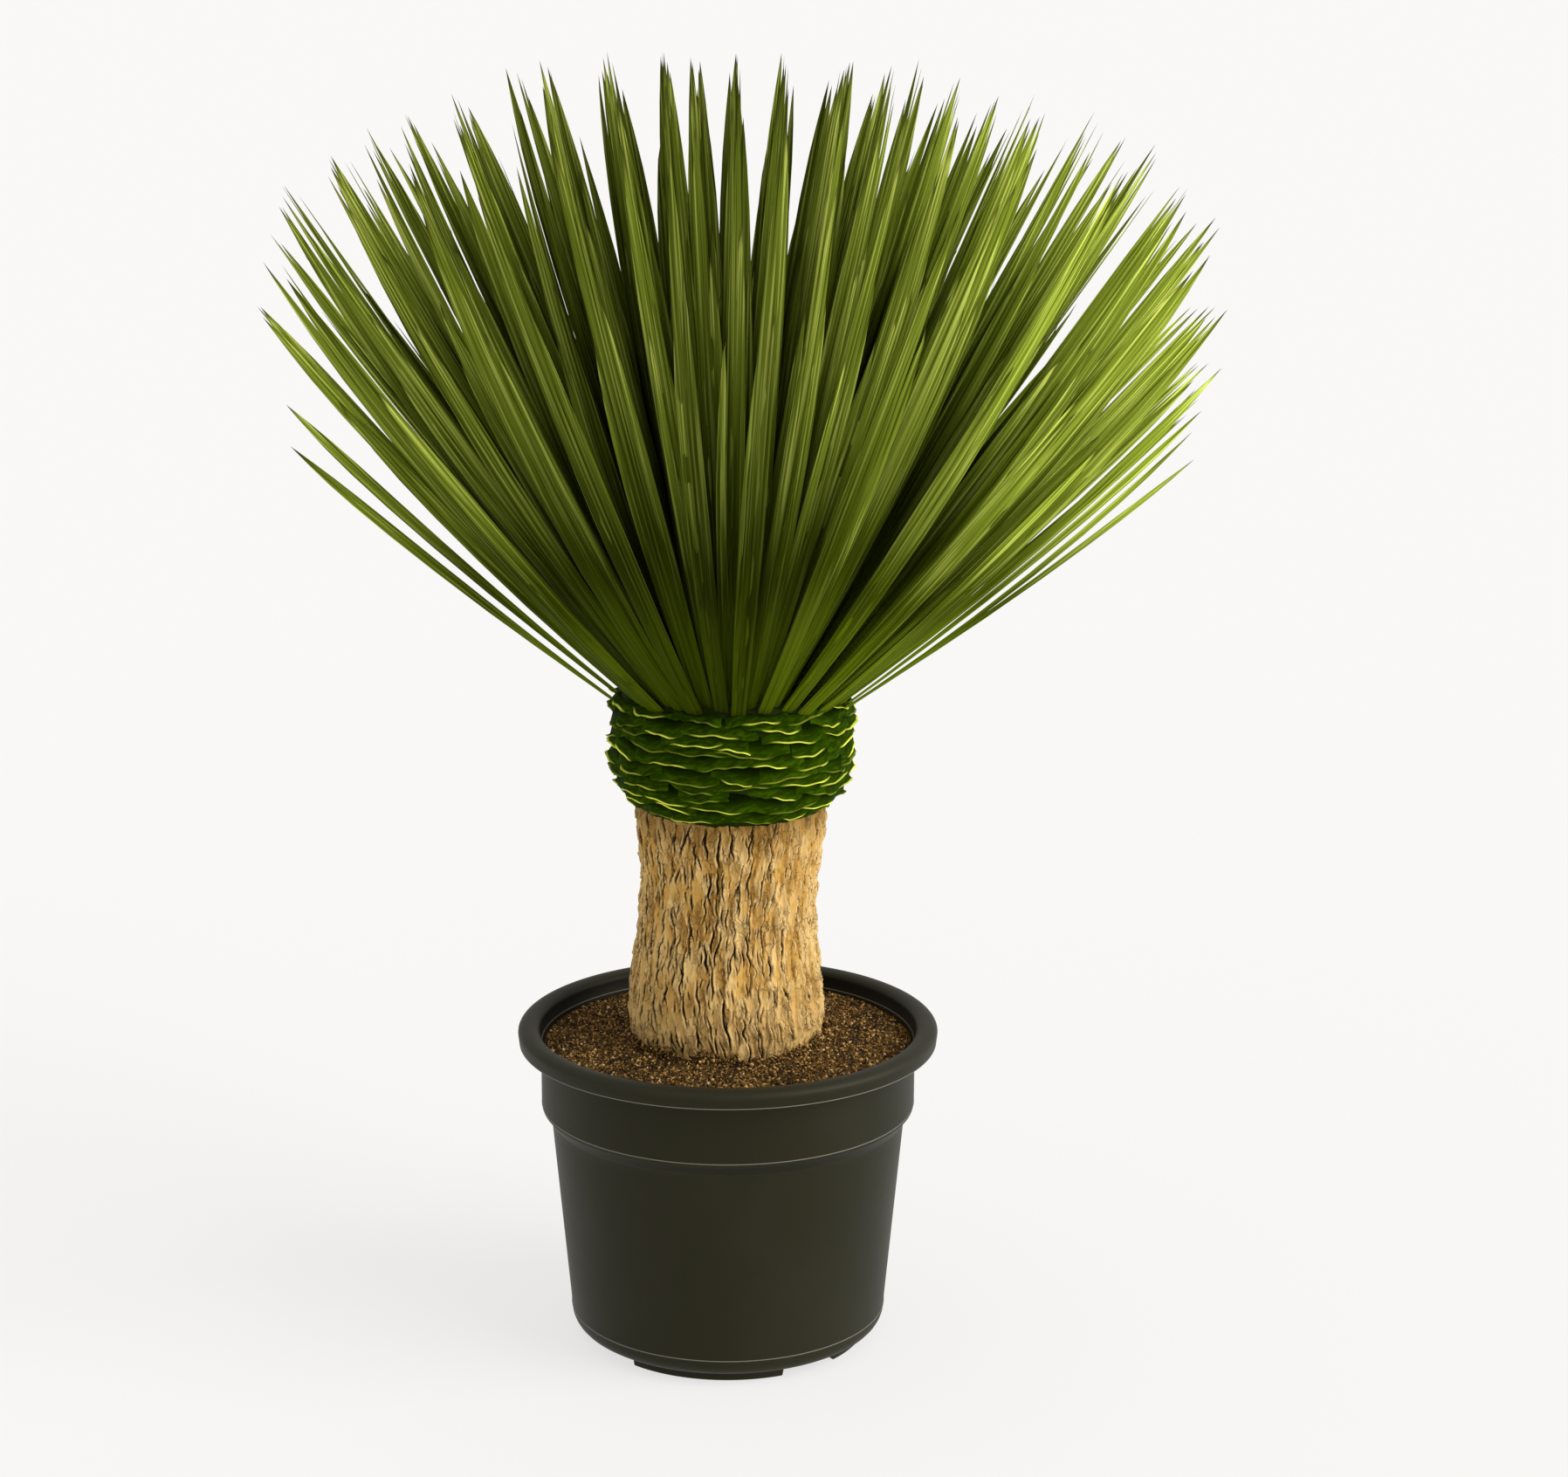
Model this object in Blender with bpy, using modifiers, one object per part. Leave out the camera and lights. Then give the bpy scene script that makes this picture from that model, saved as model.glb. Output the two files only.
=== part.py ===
"""A beaked yucca in a black plastic nursery pot: a short thick trunk stands in gritty soil and
carries a barrel-shaped collar of cut leaf bases, under a fan-like crown of long narrow leaves.
Metres, +Z up. The pot stands on z = 0 with its axis on the origin, and the plant's front faces -Y."""

import math

import bmesh
import bpy
import numpy as np
from mathutils import Euler, Vector

COLLAR_SEED = 12  # seeds of the two random draws
CROWN_SEED = 4
GAP = 0.0003  # clearance between two pieces that touch
HEIGHT = 1.600  # floor to the highest leaf tips

POT_HEIGHT = 0.407
POT_STEPS = 44
RIM_RADIUS = 0.2626
RIM_WIDTH = 0.027  # radial width of the rolled rim
RIM_DROP = 0.023  # height of the rim's side face
RIM_CROWN = 0.009  # height of its rounded top
RIM_TUCK = 0.002  # its side face leans in this far
BAND_RADIUS = 0.2342  # shoulder band under the rim
BAND_BOTTOM = 0.302
BAND_EDGE = 0.004  # the band's lower edge is rounded by this
BODY_TOP_RADIUS = 0.2212
BODY_TOP = 0.280
BODY_FOOT_RADIUS = 0.199  # where the bottom corner starts to round in
BODY_FOOT = 0.034
BASE_RADIUS = 0.184
FOOT_RADIUS = 0.176
FOOT_WIDTH = 0.014
FOOT_HEIGHT = 0.014
WALL = 0.003
FLOOR = 0.004
NOTCH_COUNT = 4
NOTCH_ANGLE = math.radians(35.5)  # first notch, measured from the front towards +X
NOTCH_WIDTH = 0.086
NOTCH_TAPER = 0.86  # width at its top against its foot
DRAIN_COUNT = 6
DRAIN_SIDES = 8
DRAIN_RADIUS = 0.008
DRAIN_CIRCLE = 0.115

SOIL_TOP = 0.392  # at the trunk
SOIL_EDGE = 0.381  # at the pot's wall
HOLE_GAP = 0.0006  # clearance round the trunk, whose facets differ from the hole's
SOIL_RINGS = 4
SOIL_RELIEF = 0.0022
SOIL_WAVE_ACROSS = 61  # its waves, in radians to the metre
SOIL_WAVE_ALONG = 53
SOIL_WAVE_BROAD = 31

HEAD_SHIFT = 0.005  # the trunk leans, so the plant's head stands this far to the right

TRUNK_STEPS = 48
TRUNK_BURIED_RADIUS = 0.1075
TRUNK_BURIED_TO = 0.270
TRUNK_TOP = 0.682
TRUNK_OUTLINE = (  # height above the floor, radius
    (0.392, 0.1150),
    (0.405, 0.1180),
    (0.425, 0.1195),
    (0.445, 0.1180),
    (0.485, 0.1150),
    (0.510, 0.1112),
    (0.541, 0.1072),
    (0.565, 0.1062),
    (0.597, 0.1065),
    (0.631, 0.1100),
    (0.655, 0.1140),
    (0.682, 0.1155),
)
TRUNK_SWAY = (  # height above the floor, shift of the trunk's middle to the right
    (0.392, 0.0),
    (0.450, -0.003),
    (0.560, 0.0),
    (0.682, HEAD_SHIFT),
)
BARK_ROWS = 16
BARK_RIDGES = 12
BARK_DEPTH = 0.0034
BARK_PLATE_SHARE = 0.7  # share of the relief that the upright plates make, and not the breaks in them
BARK_SLOW_WANDER = (0.9, 24)  # swing of the fissures in radians, and its radians to the metre
BARK_FAST_WANDER = (0.7, 55)
BARK_BREAKS = 95  # radians to the metre
BARK_START = 0.020  # height above the soil over which the relief grows to its full depth

COLLAR_TOP = 0.829
COLLAR_STEPS = 32
COLLAR_OUTLINE = (  # height above the floor, radius out to the cut lips
    (0.682, 0.1215),
    (0.690, 0.1260),
    (0.714, 0.1420),
    (0.737, 0.1545),
    (0.758, 0.1580),
    (0.790, 0.1570),
    (0.832, 0.1490),
)
BARREL_LEVELS = (0.790, 0.758, 0.737, 0.714, 0.694)  # heights that carry a section, below its top
BARREL_FLARE = 0.006  # its foot stands out by this over the line of the stubs' backs
STUB_ROWS = 7
STUBS_IN_ROW = 12
STUB_LIP = 0.012  # how far a cut leaf base stands out of the barrel
STUB_SMILE = 0.009  # how far its ends turn up
STUB_SINK = 0.010  # depth of its root in the barrel
STUB_END_SINK = 0.0048  # depth of its lip's ends in the barrel
STUB_RISE = 0.026  # its root reaches this far above its lip
STUB_DROP = 0.008  # and this far below
STUB_HALF_ARC = 0.96  # shares of its half width that carry a section
STUB_INNER_ARC = 0.4
STUB_FOOT_ROW = 0.006  # height of the lowest row over the barrel's foot
STUB_HEAD_ROW = 0.012  # depth of the highest row under its top
STUB_STAGGER = 0.38  # shift of each row against the one below, in stubs
STUB_OVERLAP = 0.99  # width against the spacing round the row
STUB_WIDTHS = (0.92, 1.08)  # narrowest and widest, against their mean
STUB_LIPS = (0.7, 1.0)  # shortest and longest lip
STUB_UNEVEN = 0.12  # how far a stub is off its place round the row, in stubs
STUB_OFF_LEVEL = 0.003  # and off its height

CROWN_CENTRE = 0.716  # height of the point that the leaves spread from
CROWN_CORE_RADIUS = 0.180
CROWN_CORE_STEPS = 28
LEAF_COUNT = 326
LEAF_ROOT = 0.171  # distance of a leaf's root from the crown's centre
LEAF_ROOT_LEAN = math.radians(47)
LEAF_SIDE_SPREAD = 1.15  # lean of a tip against its root's, to left and right
LEAF_DEPTH_SPREAD = 0.66  # and to front and back, where the crown is slimmer
LEAF_STATIONS = (0.0, 0.42, 0.80)  # shares of the length that carry a section
LEAF_WIDTHS = (0.0105, 0.024, 0.0150)
LEAF_KEELS = (0.0036, 0.0034, 0.0022)  # depth of the three-sided section
LEAF_TWIST = math.radians(70)
LEAF_BEND = 1.35  # over 1, a leaf bends more towards its tip
LEAF_SHORTEST = 0.95  # reach of the shortest leaf against its neighbours'
LOW_LEAF_LEAN = math.radians(38)  # leaves that lean further are shorter
LOW_LEAF_RANGE = math.radians(14)
LOW_LEAF_LOSS = 0.17
LOW_LEAF_CURVE = 1.2  # over 1, the loss comes late
LOCK_SPACING = math.radians(4.7)  # leaves gather in locks, this far apart from side to side
LOCK_DEPTH_SPACING = math.radians(12)
LOCK_COLUMNS = 27
LOCK_ROWS = 9
LOCK_UNEVEN = 0.28  # spread of the columns' widths
LOCK_SIDE_NUDGE = 0.0055  # a lock's own shift to the side, in radians
LOCK_DEPTH_NUDGE = 0.28  # and in depth, in rows
LOCK_PULL = 0.62
LOCK_TILT = math.radians(8)  # the rows of locks lean back this far


def clear_scene():
    for obj in list(bpy.data.objects):
        bpy.data.objects.remove(obj, do_unlink=True)


def new_collection(name, helper=False):
    collection = bpy.data.collections.new(name)
    bpy.context.scene.collection.children.link(collection)
    collection.hide_render = helper
    return collection


def new_material(name, colour, roughness):
    material = bpy.data.materials.new(name)
    material.use_nodes = True
    shader = material.node_tree.nodes["Principled BSDF"]
    shader.inputs["Base Color"].default_value = (*colour, 1.0)
    shader.inputs["Roughness"].default_value = roughness
    shader.inputs["Metallic"].default_value = 0.0
    return material


def new_object(name, mesh, collection, material=None):
    obj = bpy.data.objects.new(name, mesh)
    if material:
        obj.data.materials.append(material)
    collection.objects.link(obj)
    return obj


def turned(name, profile, steps, collection, material=None):
    """A turned shape. The profile's points are (radius, height) and run down its outer side."""
    mesh = bpy.data.meshes.new(name)
    points = [(radius, 0.0, height) for radius, height in profile]
    mesh.from_pydata(points, [(i, i + 1) for i in range(len(points) - 1)], [])
    obj = new_object(name, mesh, collection, material)
    screw = obj.modifiers.new("turn", "SCREW")
    screw.axis = "Z"
    screw.steps = steps
    screw.render_steps = steps
    screw.use_merge_vertices = True
    screw.merge_threshold = 0.00001
    screw.use_smooth_shade = True
    return obj


def arc(centre, radii, start, end, count):
    """Points of an elliptic arc. Its angles, in degrees, run from straight up towards +X."""
    angles = np.radians(np.linspace(start, end, count))
    return [
        (centre[0] + radii[0] * math.sin(angle), centre[1] + radii[1] * math.cos(angle))
        for angle in angles
    ]


def bake(obj):
    """Applies an object's modifiers to its mesh."""
    graph = bpy.context.evaluated_depsgraph_get()
    mesh = bpy.data.meshes.new_from_object(obj.evaluated_get(graph))
    obj.modifiers.clear()
    obj.data = mesh


def fuse(obj, pieces, collection):
    """Joins the loose pieces to the object with one Boolean union, and removes them."""
    union = obj.modifiers.new("fuse", "BOOLEAN")
    union.operation = "UNION"
    union.operand_type = "COLLECTION"
    union.collection = collection
    union.solver = "MANIFOLD"
    bake(obj)
    for piece in pieces:
        bpy.data.objects.remove(piece, do_unlink=True)


def add_side(shape, a, b, c, d):
    """Two triangles between four corners, split along the diagonal that stands out, so that a
    twisted blade keeps its thickness."""
    hollow = (b.co - a.co).dot((c.co - a.co).cross(d.co - a.co)) > 0
    if hollow:
        a, b, c, d = b, c, d, a
    shape.faces.new((a, b, c))
    shape.faces.new((a, c, d))


def lofted(name, rings, tip, collection):
    """A closed body through rings of equally many points, with a flat end and a pointed tip. The
    rings run anticlockwise, seen from the tip."""
    shape = bmesh.new()
    loops = [[shape.verts.new(point) for point in ring] for ring in rings]
    sides = len(rings[0])
    shape.faces.new(reversed(loops[0]))
    for low, high in zip(loops, loops[1:]):
        for i in range(sides):
            j = (i + 1) % sides
            add_side(shape, low[i], low[j], high[j], high[i])
    end = shape.verts.new(tip)
    for i in range(sides):
        shape.faces.new((loops[-1][i], loops[-1][(i + 1) % sides], end))
    mesh = bpy.data.meshes.new(name)
    shape.to_mesh(mesh)
    shape.free()
    return new_object(name, mesh, collection)


def outline_value(outline, height):
    """Value at a height, from pairs of height and value that run upwards."""
    heights, values = zip(*outline)
    return float(np.interp(height, heights, values))


def pot_wall_radius(height):
    """The pot's outer radius below the rim."""
    outline = (
        (FOOT_HEIGHT, BASE_RADIUS),
        (BODY_FOOT, BODY_FOOT_RADIUS),
        (BODY_TOP, BODY_TOP_RADIUS),
        (BAND_BOTTOM, BAND_RADIUS),
        (POT_HEIGHT, BAND_RADIUS),
    )
    return outline_value(outline, height)


def inner_profile(top, clearance):
    """Points up the inside of the pot from its floor, drawn in by the clearance."""
    floor = FOOT_HEIGHT + FLOOR + clearance
    heights = (floor, BODY_FOOT + FLOOR, BODY_TOP, BAND_BOTTOM, top)
    return [(pot_wall_radius(height) - WALL - clearance, height) for height in heights]


def add_pot(parts, cutters, material):
    rim_bottom = POT_HEIGHT - RIM_DROP
    rim_middle = (RIM_RADIUS - RIM_WIDTH / 2, POT_HEIGHT - RIM_CROWN)
    corner = (BODY_FOOT_RADIUS - BASE_RADIUS, BODY_FOOT - FOOT_HEIGHT)
    outer = [
        *arc(rim_middle, (RIM_WIDTH / 2, RIM_CROWN), -90, 90, 5),
        (RIM_RADIUS - RIM_TUCK, rim_bottom),
        (BAND_RADIUS, rim_bottom),
        (BAND_RADIUS, BAND_BOTTOM + BAND_EDGE),
        (BAND_RADIUS - BAND_EDGE, BAND_BOTTOM - 2 * BAND_EDGE),
        (BODY_TOP_RADIUS, BODY_TOP),
        *arc((BASE_RADIUS, BODY_FOOT), corner, 90, 180, 3),
        (FOOT_RADIUS, FOOT_HEIGHT),
        (FOOT_RADIUS, 0.0),
        (FOOT_RADIUS - FOOT_WIDTH, 0.0),
        (FOOT_RADIUS - FOOT_WIDTH, FOOT_HEIGHT),
        (0.0, FOOT_HEIGHT),
    ]
    inner = inner_profile(SOIL_EDGE, 0.0)
    pot = turned("nursery_pot", [(0.0, inner[0][1]), *inner, *outer], POT_STEPS, parts, material)
    for i in range(NOTCH_COUNT):
        cut(pot, foot_notch(i, cutters))
    for i in range(DRAIN_COUNT):
        cut(pot, drain(i, cutters))


def cut(obj, cutter):
    boolean = obj.modifiers.new(cutter.name, "BOOLEAN")
    boolean.operation = "DIFFERENCE"
    boolean.object = cutter


def as_cutter(name, shape, cutters):
    mesh = bpy.data.meshes.new(name)
    shape.to_mesh(mesh)
    shape.free()
    cutter = new_object(name, mesh, cutters)
    cutter.hide_render = True
    cutter.display_type = "WIRE"
    return cutter


def foot_notch(index, cutters):
    """A gap in the foot ring, a little narrower at its top, through which water runs out."""
    shape = bmesh.new()
    bmesh.ops.create_cube(shape, size=1.0)
    for vert in shape.verts:
        vert.co.x *= NOTCH_WIDTH * (NOTCH_TAPER if vert.co.z > 0 else 1.0)
        vert.co.y *= 3 * FOOT_WIDTH
        vert.co.z = FOOT_HEIGHT if vert.co.z > 0 else -FOOT_HEIGHT
    cutter = as_cutter(f"notch_{index}", shape, cutters)
    angle = NOTCH_ANGLE + index * math.tau / NOTCH_COUNT
    cutter.location = Vector((math.sin(angle), -math.cos(angle), 0.0)) * (FOOT_RADIUS - FOOT_WIDTH / 2)
    cutter.rotation_euler.z = angle
    return cutter


def drain(index, cutters):
    shape = bmesh.new()
    depth = 3 * FLOOR
    bmesh.ops.create_cone(
        shape, cap_ends=True, segments=DRAIN_SIDES, radius1=DRAIN_RADIUS, radius2=DRAIN_RADIUS, depth=depth
    )
    cutter = as_cutter(f"drain_{index}", shape, cutters)
    angle = (index + 0.5) * math.tau / DRAIN_COUNT
    place = Vector((math.cos(angle), math.sin(angle), 0.0)) * DRAIN_CIRCLE
    cutter.location = place + Vector((0.0, 0.0, FOOT_HEIGHT + FLOOR / 2))
    return cutter


def add_soil(parts, material):
    """The fill, down to the pot's floor, with a plain round hole that the trunk stands in."""
    hole = TRUNK_BURIED_RADIUS + HOLE_GAP
    hole_floor = TRUNK_BURIED_TO - GAP
    side = inner_profile(SOIL_EDGE, GAP)
    wall = side[-1][0]
    shares = np.arange(SOIL_RINGS) / SOIL_RINGS
    surface = [
        (hole + (wall - hole) * share, SOIL_TOP + (SOIL_EDGE - SOIL_TOP) * share) for share in shares
    ]
    profile = [
        (0.0, hole_floor),
        (hole, hole_floor),
        *surface,
        *reversed(side),
        (0.0, side[0][1]),
    ]
    soil = turned("potting_soil", profile, POT_STEPS, parts, material)
    bake(soil)
    for vert in soil.data.vertices:
        radius = math.hypot(vert.co.x, vert.co.y)
        inside = min(radius - hole, wall - radius)
        if vert.co.z > SOIL_EDGE - GAP and inside > GAP:
            fine = math.sin(SOIL_WAVE_ACROSS * vert.co.x + 2.0) * math.sin(SOIL_WAVE_ALONG * vert.co.y)
            broad = math.sin(SOIL_WAVE_BROAD * vert.co.x - 1)
            vert.co.z += SOIL_RELIEF * (fine + broad)


def bark_relief(angle, height):
    """How far the bark stands out: broad plates, with fissures that wander as they rise."""
    slow = BARK_SLOW_WANDER[0] * math.sin(BARK_SLOW_WANDER[1] * height)
    fast = BARK_FAST_WANDER[0] * math.sin(BARK_FAST_WANDER[1] * height + 2 * angle)
    plates = math.sin(BARK_RIDGES * angle + slow + fast)
    breaks = math.sin(BARK_BREAKS * height + 3 * math.sin(5 * angle))
    return BARK_DEPTH * (BARK_PLATE_SHARE * plates + (1 - BARK_PLATE_SHARE) * breaks)


def add_trunk(parts, material):
    low = SOIL_TOP + GAP
    heights = np.linspace(low, TRUNK_TOP, BARK_ROWS)
    bark = [(outline_value(TRUNK_OUTLINE, height), height) for height in heights]
    profile = [
        (0.0, TRUNK_TOP),
        *reversed(bark),
        (TRUNK_BURIED_RADIUS, low),
        (TRUNK_BURIED_RADIUS, TRUNK_BURIED_TO),
        (0.0, TRUNK_BURIED_TO),
    ]
    trunk = turned("trunk", profile, TRUNK_STEPS, parts, material)
    bake(trunk)
    for vert in trunk.data.vertices:
        radius = math.hypot(vert.co.x, vert.co.y)
        if radius > TRUNK_BURIED_RADIUS - GAP and vert.co.z > low + GAP:
            relief = bark_relief(math.atan2(vert.co.y, vert.co.x), vert.co.z)
            edge = min(1.0, (vert.co.z - low) / BARK_START)
            vert.co.x *= 1 + relief * edge / radius
            vert.co.y *= 1 + relief * edge / radius
        vert.co.x += outline_value(TRUNK_SWAY, vert.co.z)


def leaf_stub(name, angle, height, width, lip, collection):
    """One cut leaf base: a crescent lip that stands out of the barrel, its ends turned up."""
    rings = []
    for share in (-STUB_HALF_ARC, -STUB_INNER_ARC, STUB_INNER_ARC, STUB_HALF_ARC):
        bow = 1 - share * share
        theta = angle + share * width / 2
        edge = outline_value(COLLAR_OUTLINE, height)
        rise = STUB_SMILE * share * share
        barrel = edge - STUB_LIP
        root = barrel - STUB_SINK
        corners = (
            (barrel - STUB_END_SINK + (lip + STUB_END_SINK) * bow, height + rise),
            (root, min(height + rise + STUB_RISE, COLLAR_TOP - GAP)),
            (root, max(height + rise - STUB_DROP, TRUNK_TOP + 2 * GAP)),
        )
        rings.append([(r * math.cos(theta), r * math.sin(theta), z) for r, z in corners])
    shape = bmesh.new()
    loops = [[shape.verts.new(point) for point in ring] for ring in rings]
    shape.faces.new(loops[0])
    shape.faces.new(loops[-1])
    for low, high in zip(loops, loops[1:]):
        for i in range(3):
            j = (i + 1) % 3
            shape.faces.new((low[i], low[j], high[j]))
            shape.faces.new((low[i], high[j], high[i]))
    bmesh.ops.recalc_face_normals(shape, faces=shape.faces)
    mesh = bpy.data.meshes.new(name)
    shape.to_mesh(mesh)
    shape.free()
    return new_object(name, mesh, collection)


def add_collar(parts, material):
    rng = np.random.default_rng(COLLAR_SEED)
    bottom = TRUNK_TOP + GAP
    heights = (COLLAR_TOP, *BARREL_LEVELS, bottom)
    barrel = [(outline_value(COLLAR_OUTLINE, z) - STUB_LIP, z) for z in heights]
    profile = [(0.0, COLLAR_TOP), *barrel[:-1], (barrel[-1][0] + BARREL_FLARE, bottom), (0.0, bottom)]
    collar = turned("leaf_base_collar", profile, COLLAR_STEPS, parts, material)
    loose = new_collection("loose leaf bases", helper=True)
    stubs = []
    spacing = math.tau / STUBS_IN_ROW
    first, last = bottom + STUB_FOOT_ROW, COLLAR_TOP - STUB_HEAD_ROW
    for row in range(STUB_ROWS):
        for i in range(STUBS_IN_ROW):
            angle = (i + STUB_STAGGER * row + rng.uniform(-STUB_UNEVEN, STUB_UNEVEN)) * spacing
            height = first + (last - first) * row / (STUB_ROWS - 1)
            if 0 < row < STUB_ROWS - 1:
                height += rng.uniform(-STUB_OFF_LEVEL, STUB_OFF_LEVEL)
            width = spacing * STUB_OVERLAP * rng.uniform(*STUB_WIDTHS)
            lip = STUB_LIP * rng.uniform(*STUB_LIPS)
            stubs.append(leaf_stub(f"stub_{row}_{i}", angle, height, width, lip, loose))
    fuse(collar, stubs, loose)
    collar.location.x = HEAD_SHIFT
    bpy.data.collections.remove(loose)


def towards(side, depth, tilt=0.0):
    """Unit vector from two leans: to the right, and to the front, in a frame that may tilt back."""
    flat = Vector(
        (math.sin(side) * math.cos(depth), -math.sin(depth), math.cos(side) * math.cos(depth))
    )
    flat.rotate(Euler((-tilt, 0.0, 0.0)))
    return flat


def leans(direction, tilt=0.0):
    """The two leans of a unit vector: the inverse of towards."""
    flat = direction.copy()
    flat.rotate(Euler((tilt, 0.0, 0.0)))
    return math.atan2(flat.x, flat.z), -math.asin(flat.y)


def lock_centres(rng):
    """Leans of the locks' tips: rows from side to side, each lock a little off its place."""
    centres = []
    widths = LOCK_SPACING * rng.uniform(1 - LOCK_UNEVEN, 1 + LOCK_UNEVEN, LOCK_COLUMNS)
    columns = np.cumsum(widths) - widths.sum() / 2
    for row in range(-(LOCK_ROWS // 2), LOCK_ROWS // 2 + 1):
        for side in columns:
            aside, along = rng.uniform(-1, 1, 2)
            depth = (row + LOCK_DEPTH_NUDGE * along) * LOCK_DEPTH_SPACING
            centres.append((side + LOCK_SIDE_NUDGE * aside, depth))
    return np.array(centres)


def gathered(direction, centres):
    """A tip's direction drawn towards the middle of the lock that it belongs to."""
    own = np.array(leans(direction, LOCK_TILT))
    away = (centres - own) / (LOCK_SPACING, LOCK_DEPTH_SPACING)
    nearest = centres[np.argmin((away**2).sum(axis=1))]
    side, depth = own + LOCK_PULL * (nearest - own)
    return towards(side, depth, LOCK_TILT)


def leaf_reach(tip_direction):
    """Distance of a leaf's tip from the crown's centre: the lowest leaves are shorter."""
    side, _ = leans(tip_direction)
    low = min(1.0, max(0.0, (abs(side) - LOW_LEAF_LEAN) / LOW_LEAF_RANGE))
    return (HEIGHT - CROWN_CENTRE) * (1 - LOW_LEAF_LOSS * low**LOW_LEAF_CURVE)


def leaf(name, root, tip, reach, twist, collection):
    """One blade: a slim three-sided section along a path that bends from its root's direction to
    its tip's."""
    centre = Vector((0.0, 0.0, CROWN_CENTRE))

    def point(share):
        direction = root.lerp(tip, share**LEAF_BEND).normalized()
        return centre + direction * (LEAF_ROOT + (reach - LEAF_ROOT) * share)

    rings = []
    level = Vector((root.y, -root.x, 0.0)).normalized()
    for share, width, keel in zip(LEAF_STATIONS, LEAF_WIDTHS, LEAF_KEELS):
        along = (point(share + 0.01) - point(share)).normalized()
        across = (level - level.dot(along) * along).normalized()
        turn = twist * share
        wide = math.cos(turn) * across + math.sin(turn) * across.cross(along)
        deep = along.cross(wide)
        middle = point(share)
        rings.append(
            (middle - wide * width / 2, middle + wide * width / 2, middle + deep * keel)
        )
    return lofted(name, rings, point(1.0), collection)


def add_crown(parts, material):
    """The crown: a low dome that the leaves grow out of, in the spiral order of a rosette."""
    rng = np.random.default_rng(CROWN_SEED)
    base = COLLAR_TOP + GAP
    lowest = math.acos((base - CROWN_CENTRE) / CROWN_CORE_RADIUS)
    dome = [
        (
            CROWN_CORE_RADIUS * math.sin(lowest * share),
            CROWN_CENTRE + CROWN_CORE_RADIUS * math.cos(lowest * share),
        )
        for share in (0.0, 0.25, 0.5, 0.75, 1.0)
    ]
    crown = turned("leaf_crown", [*dome, (0.0, base)], CROWN_CORE_STEPS, parts, material)
    centres = lock_centres(rng)
    loose = new_collection("loose leaves", helper=True)
    golden = math.pi * (3 - math.sqrt(5))
    leaves = []
    for i in range(LEAF_COUNT):
        share = (i + 0.5) / LEAF_COUNT
        lean = math.acos(1 - share * (1 - math.cos(LEAF_ROOT_LEAN)))
        azimuth = i * golden
        root = Vector(
            (math.sin(lean) * math.cos(azimuth), math.sin(lean) * math.sin(azimuth), math.cos(lean))
        )
        side, depth = leans(root)
        tip = gathered(towards(side * LEAF_SIDE_SPREAD, depth * LEAF_DEPTH_SPREAD), centres)
        reach = leaf_reach(tip) * rng.uniform(LEAF_SHORTEST, 1.0)
        twist = LEAF_TWIST * rng.uniform(-1, 1)
        leaves.append(leaf(f"leaf_{i}", root, tip, reach, twist, loose))
    fuse(crown, leaves, loose)
    crown.location.x = HEAD_SHIFT
    bpy.data.collections.remove(loose)


def main():
    clear_scene()
    parts = new_collection("beaked yucca")
    cutters = new_collection("cutters", helper=True)
    add_pot(parts, cutters, new_material("black plastic", (0.022, 0.022, 0.016), 0.5))
    add_soil(parts, new_material("potting mix", (0.07, 0.042, 0.018), 0.95))
    add_trunk(parts, new_material("corky bark", (0.40, 0.25, 0.10), 0.9))
    add_collar(parts, new_material("cut leaf bases", (0.03, 0.10, 0.008), 0.6))
    add_crown(parts, new_material("leaves", (0.10, 0.16, 0.025), 0.5))


main()
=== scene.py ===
import math

import bpy
import numpy as np
from mathutils import Euler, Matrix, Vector, noise


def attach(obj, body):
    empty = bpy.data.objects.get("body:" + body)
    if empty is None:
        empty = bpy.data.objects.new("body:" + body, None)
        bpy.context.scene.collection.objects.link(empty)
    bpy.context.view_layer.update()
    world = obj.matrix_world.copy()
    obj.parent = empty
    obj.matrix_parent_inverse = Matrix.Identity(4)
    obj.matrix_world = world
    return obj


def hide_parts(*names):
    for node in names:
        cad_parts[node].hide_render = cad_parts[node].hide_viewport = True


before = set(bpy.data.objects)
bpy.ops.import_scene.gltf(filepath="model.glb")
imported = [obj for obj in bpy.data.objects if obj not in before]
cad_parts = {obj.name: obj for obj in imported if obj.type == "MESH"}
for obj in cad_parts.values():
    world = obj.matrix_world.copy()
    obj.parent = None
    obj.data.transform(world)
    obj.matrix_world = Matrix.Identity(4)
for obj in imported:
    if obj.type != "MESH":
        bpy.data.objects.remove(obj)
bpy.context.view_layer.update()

# The camera stands in front of the plant, a little above the pot's rim, as in the photograph.
# The pixel values are in the photograph's own 1796 x 1692 frame.
PHOTO_WIDTH = 1796
PHOTO_HEIGHT = 1692
FOCAL_PIXELS = 3740
AIM_HEIGHT = 0.8  # the point on the pot's axis that the camera was fitted to
AIM_PIXEL = (832, 820)
CAMERA_DISTANCE = 4.0
CAMERA_RAISE = math.radians(13.5)
CAMERA_ROLL = math.radians(0.243)
SENSOR_WIDTH = 36.0

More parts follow.
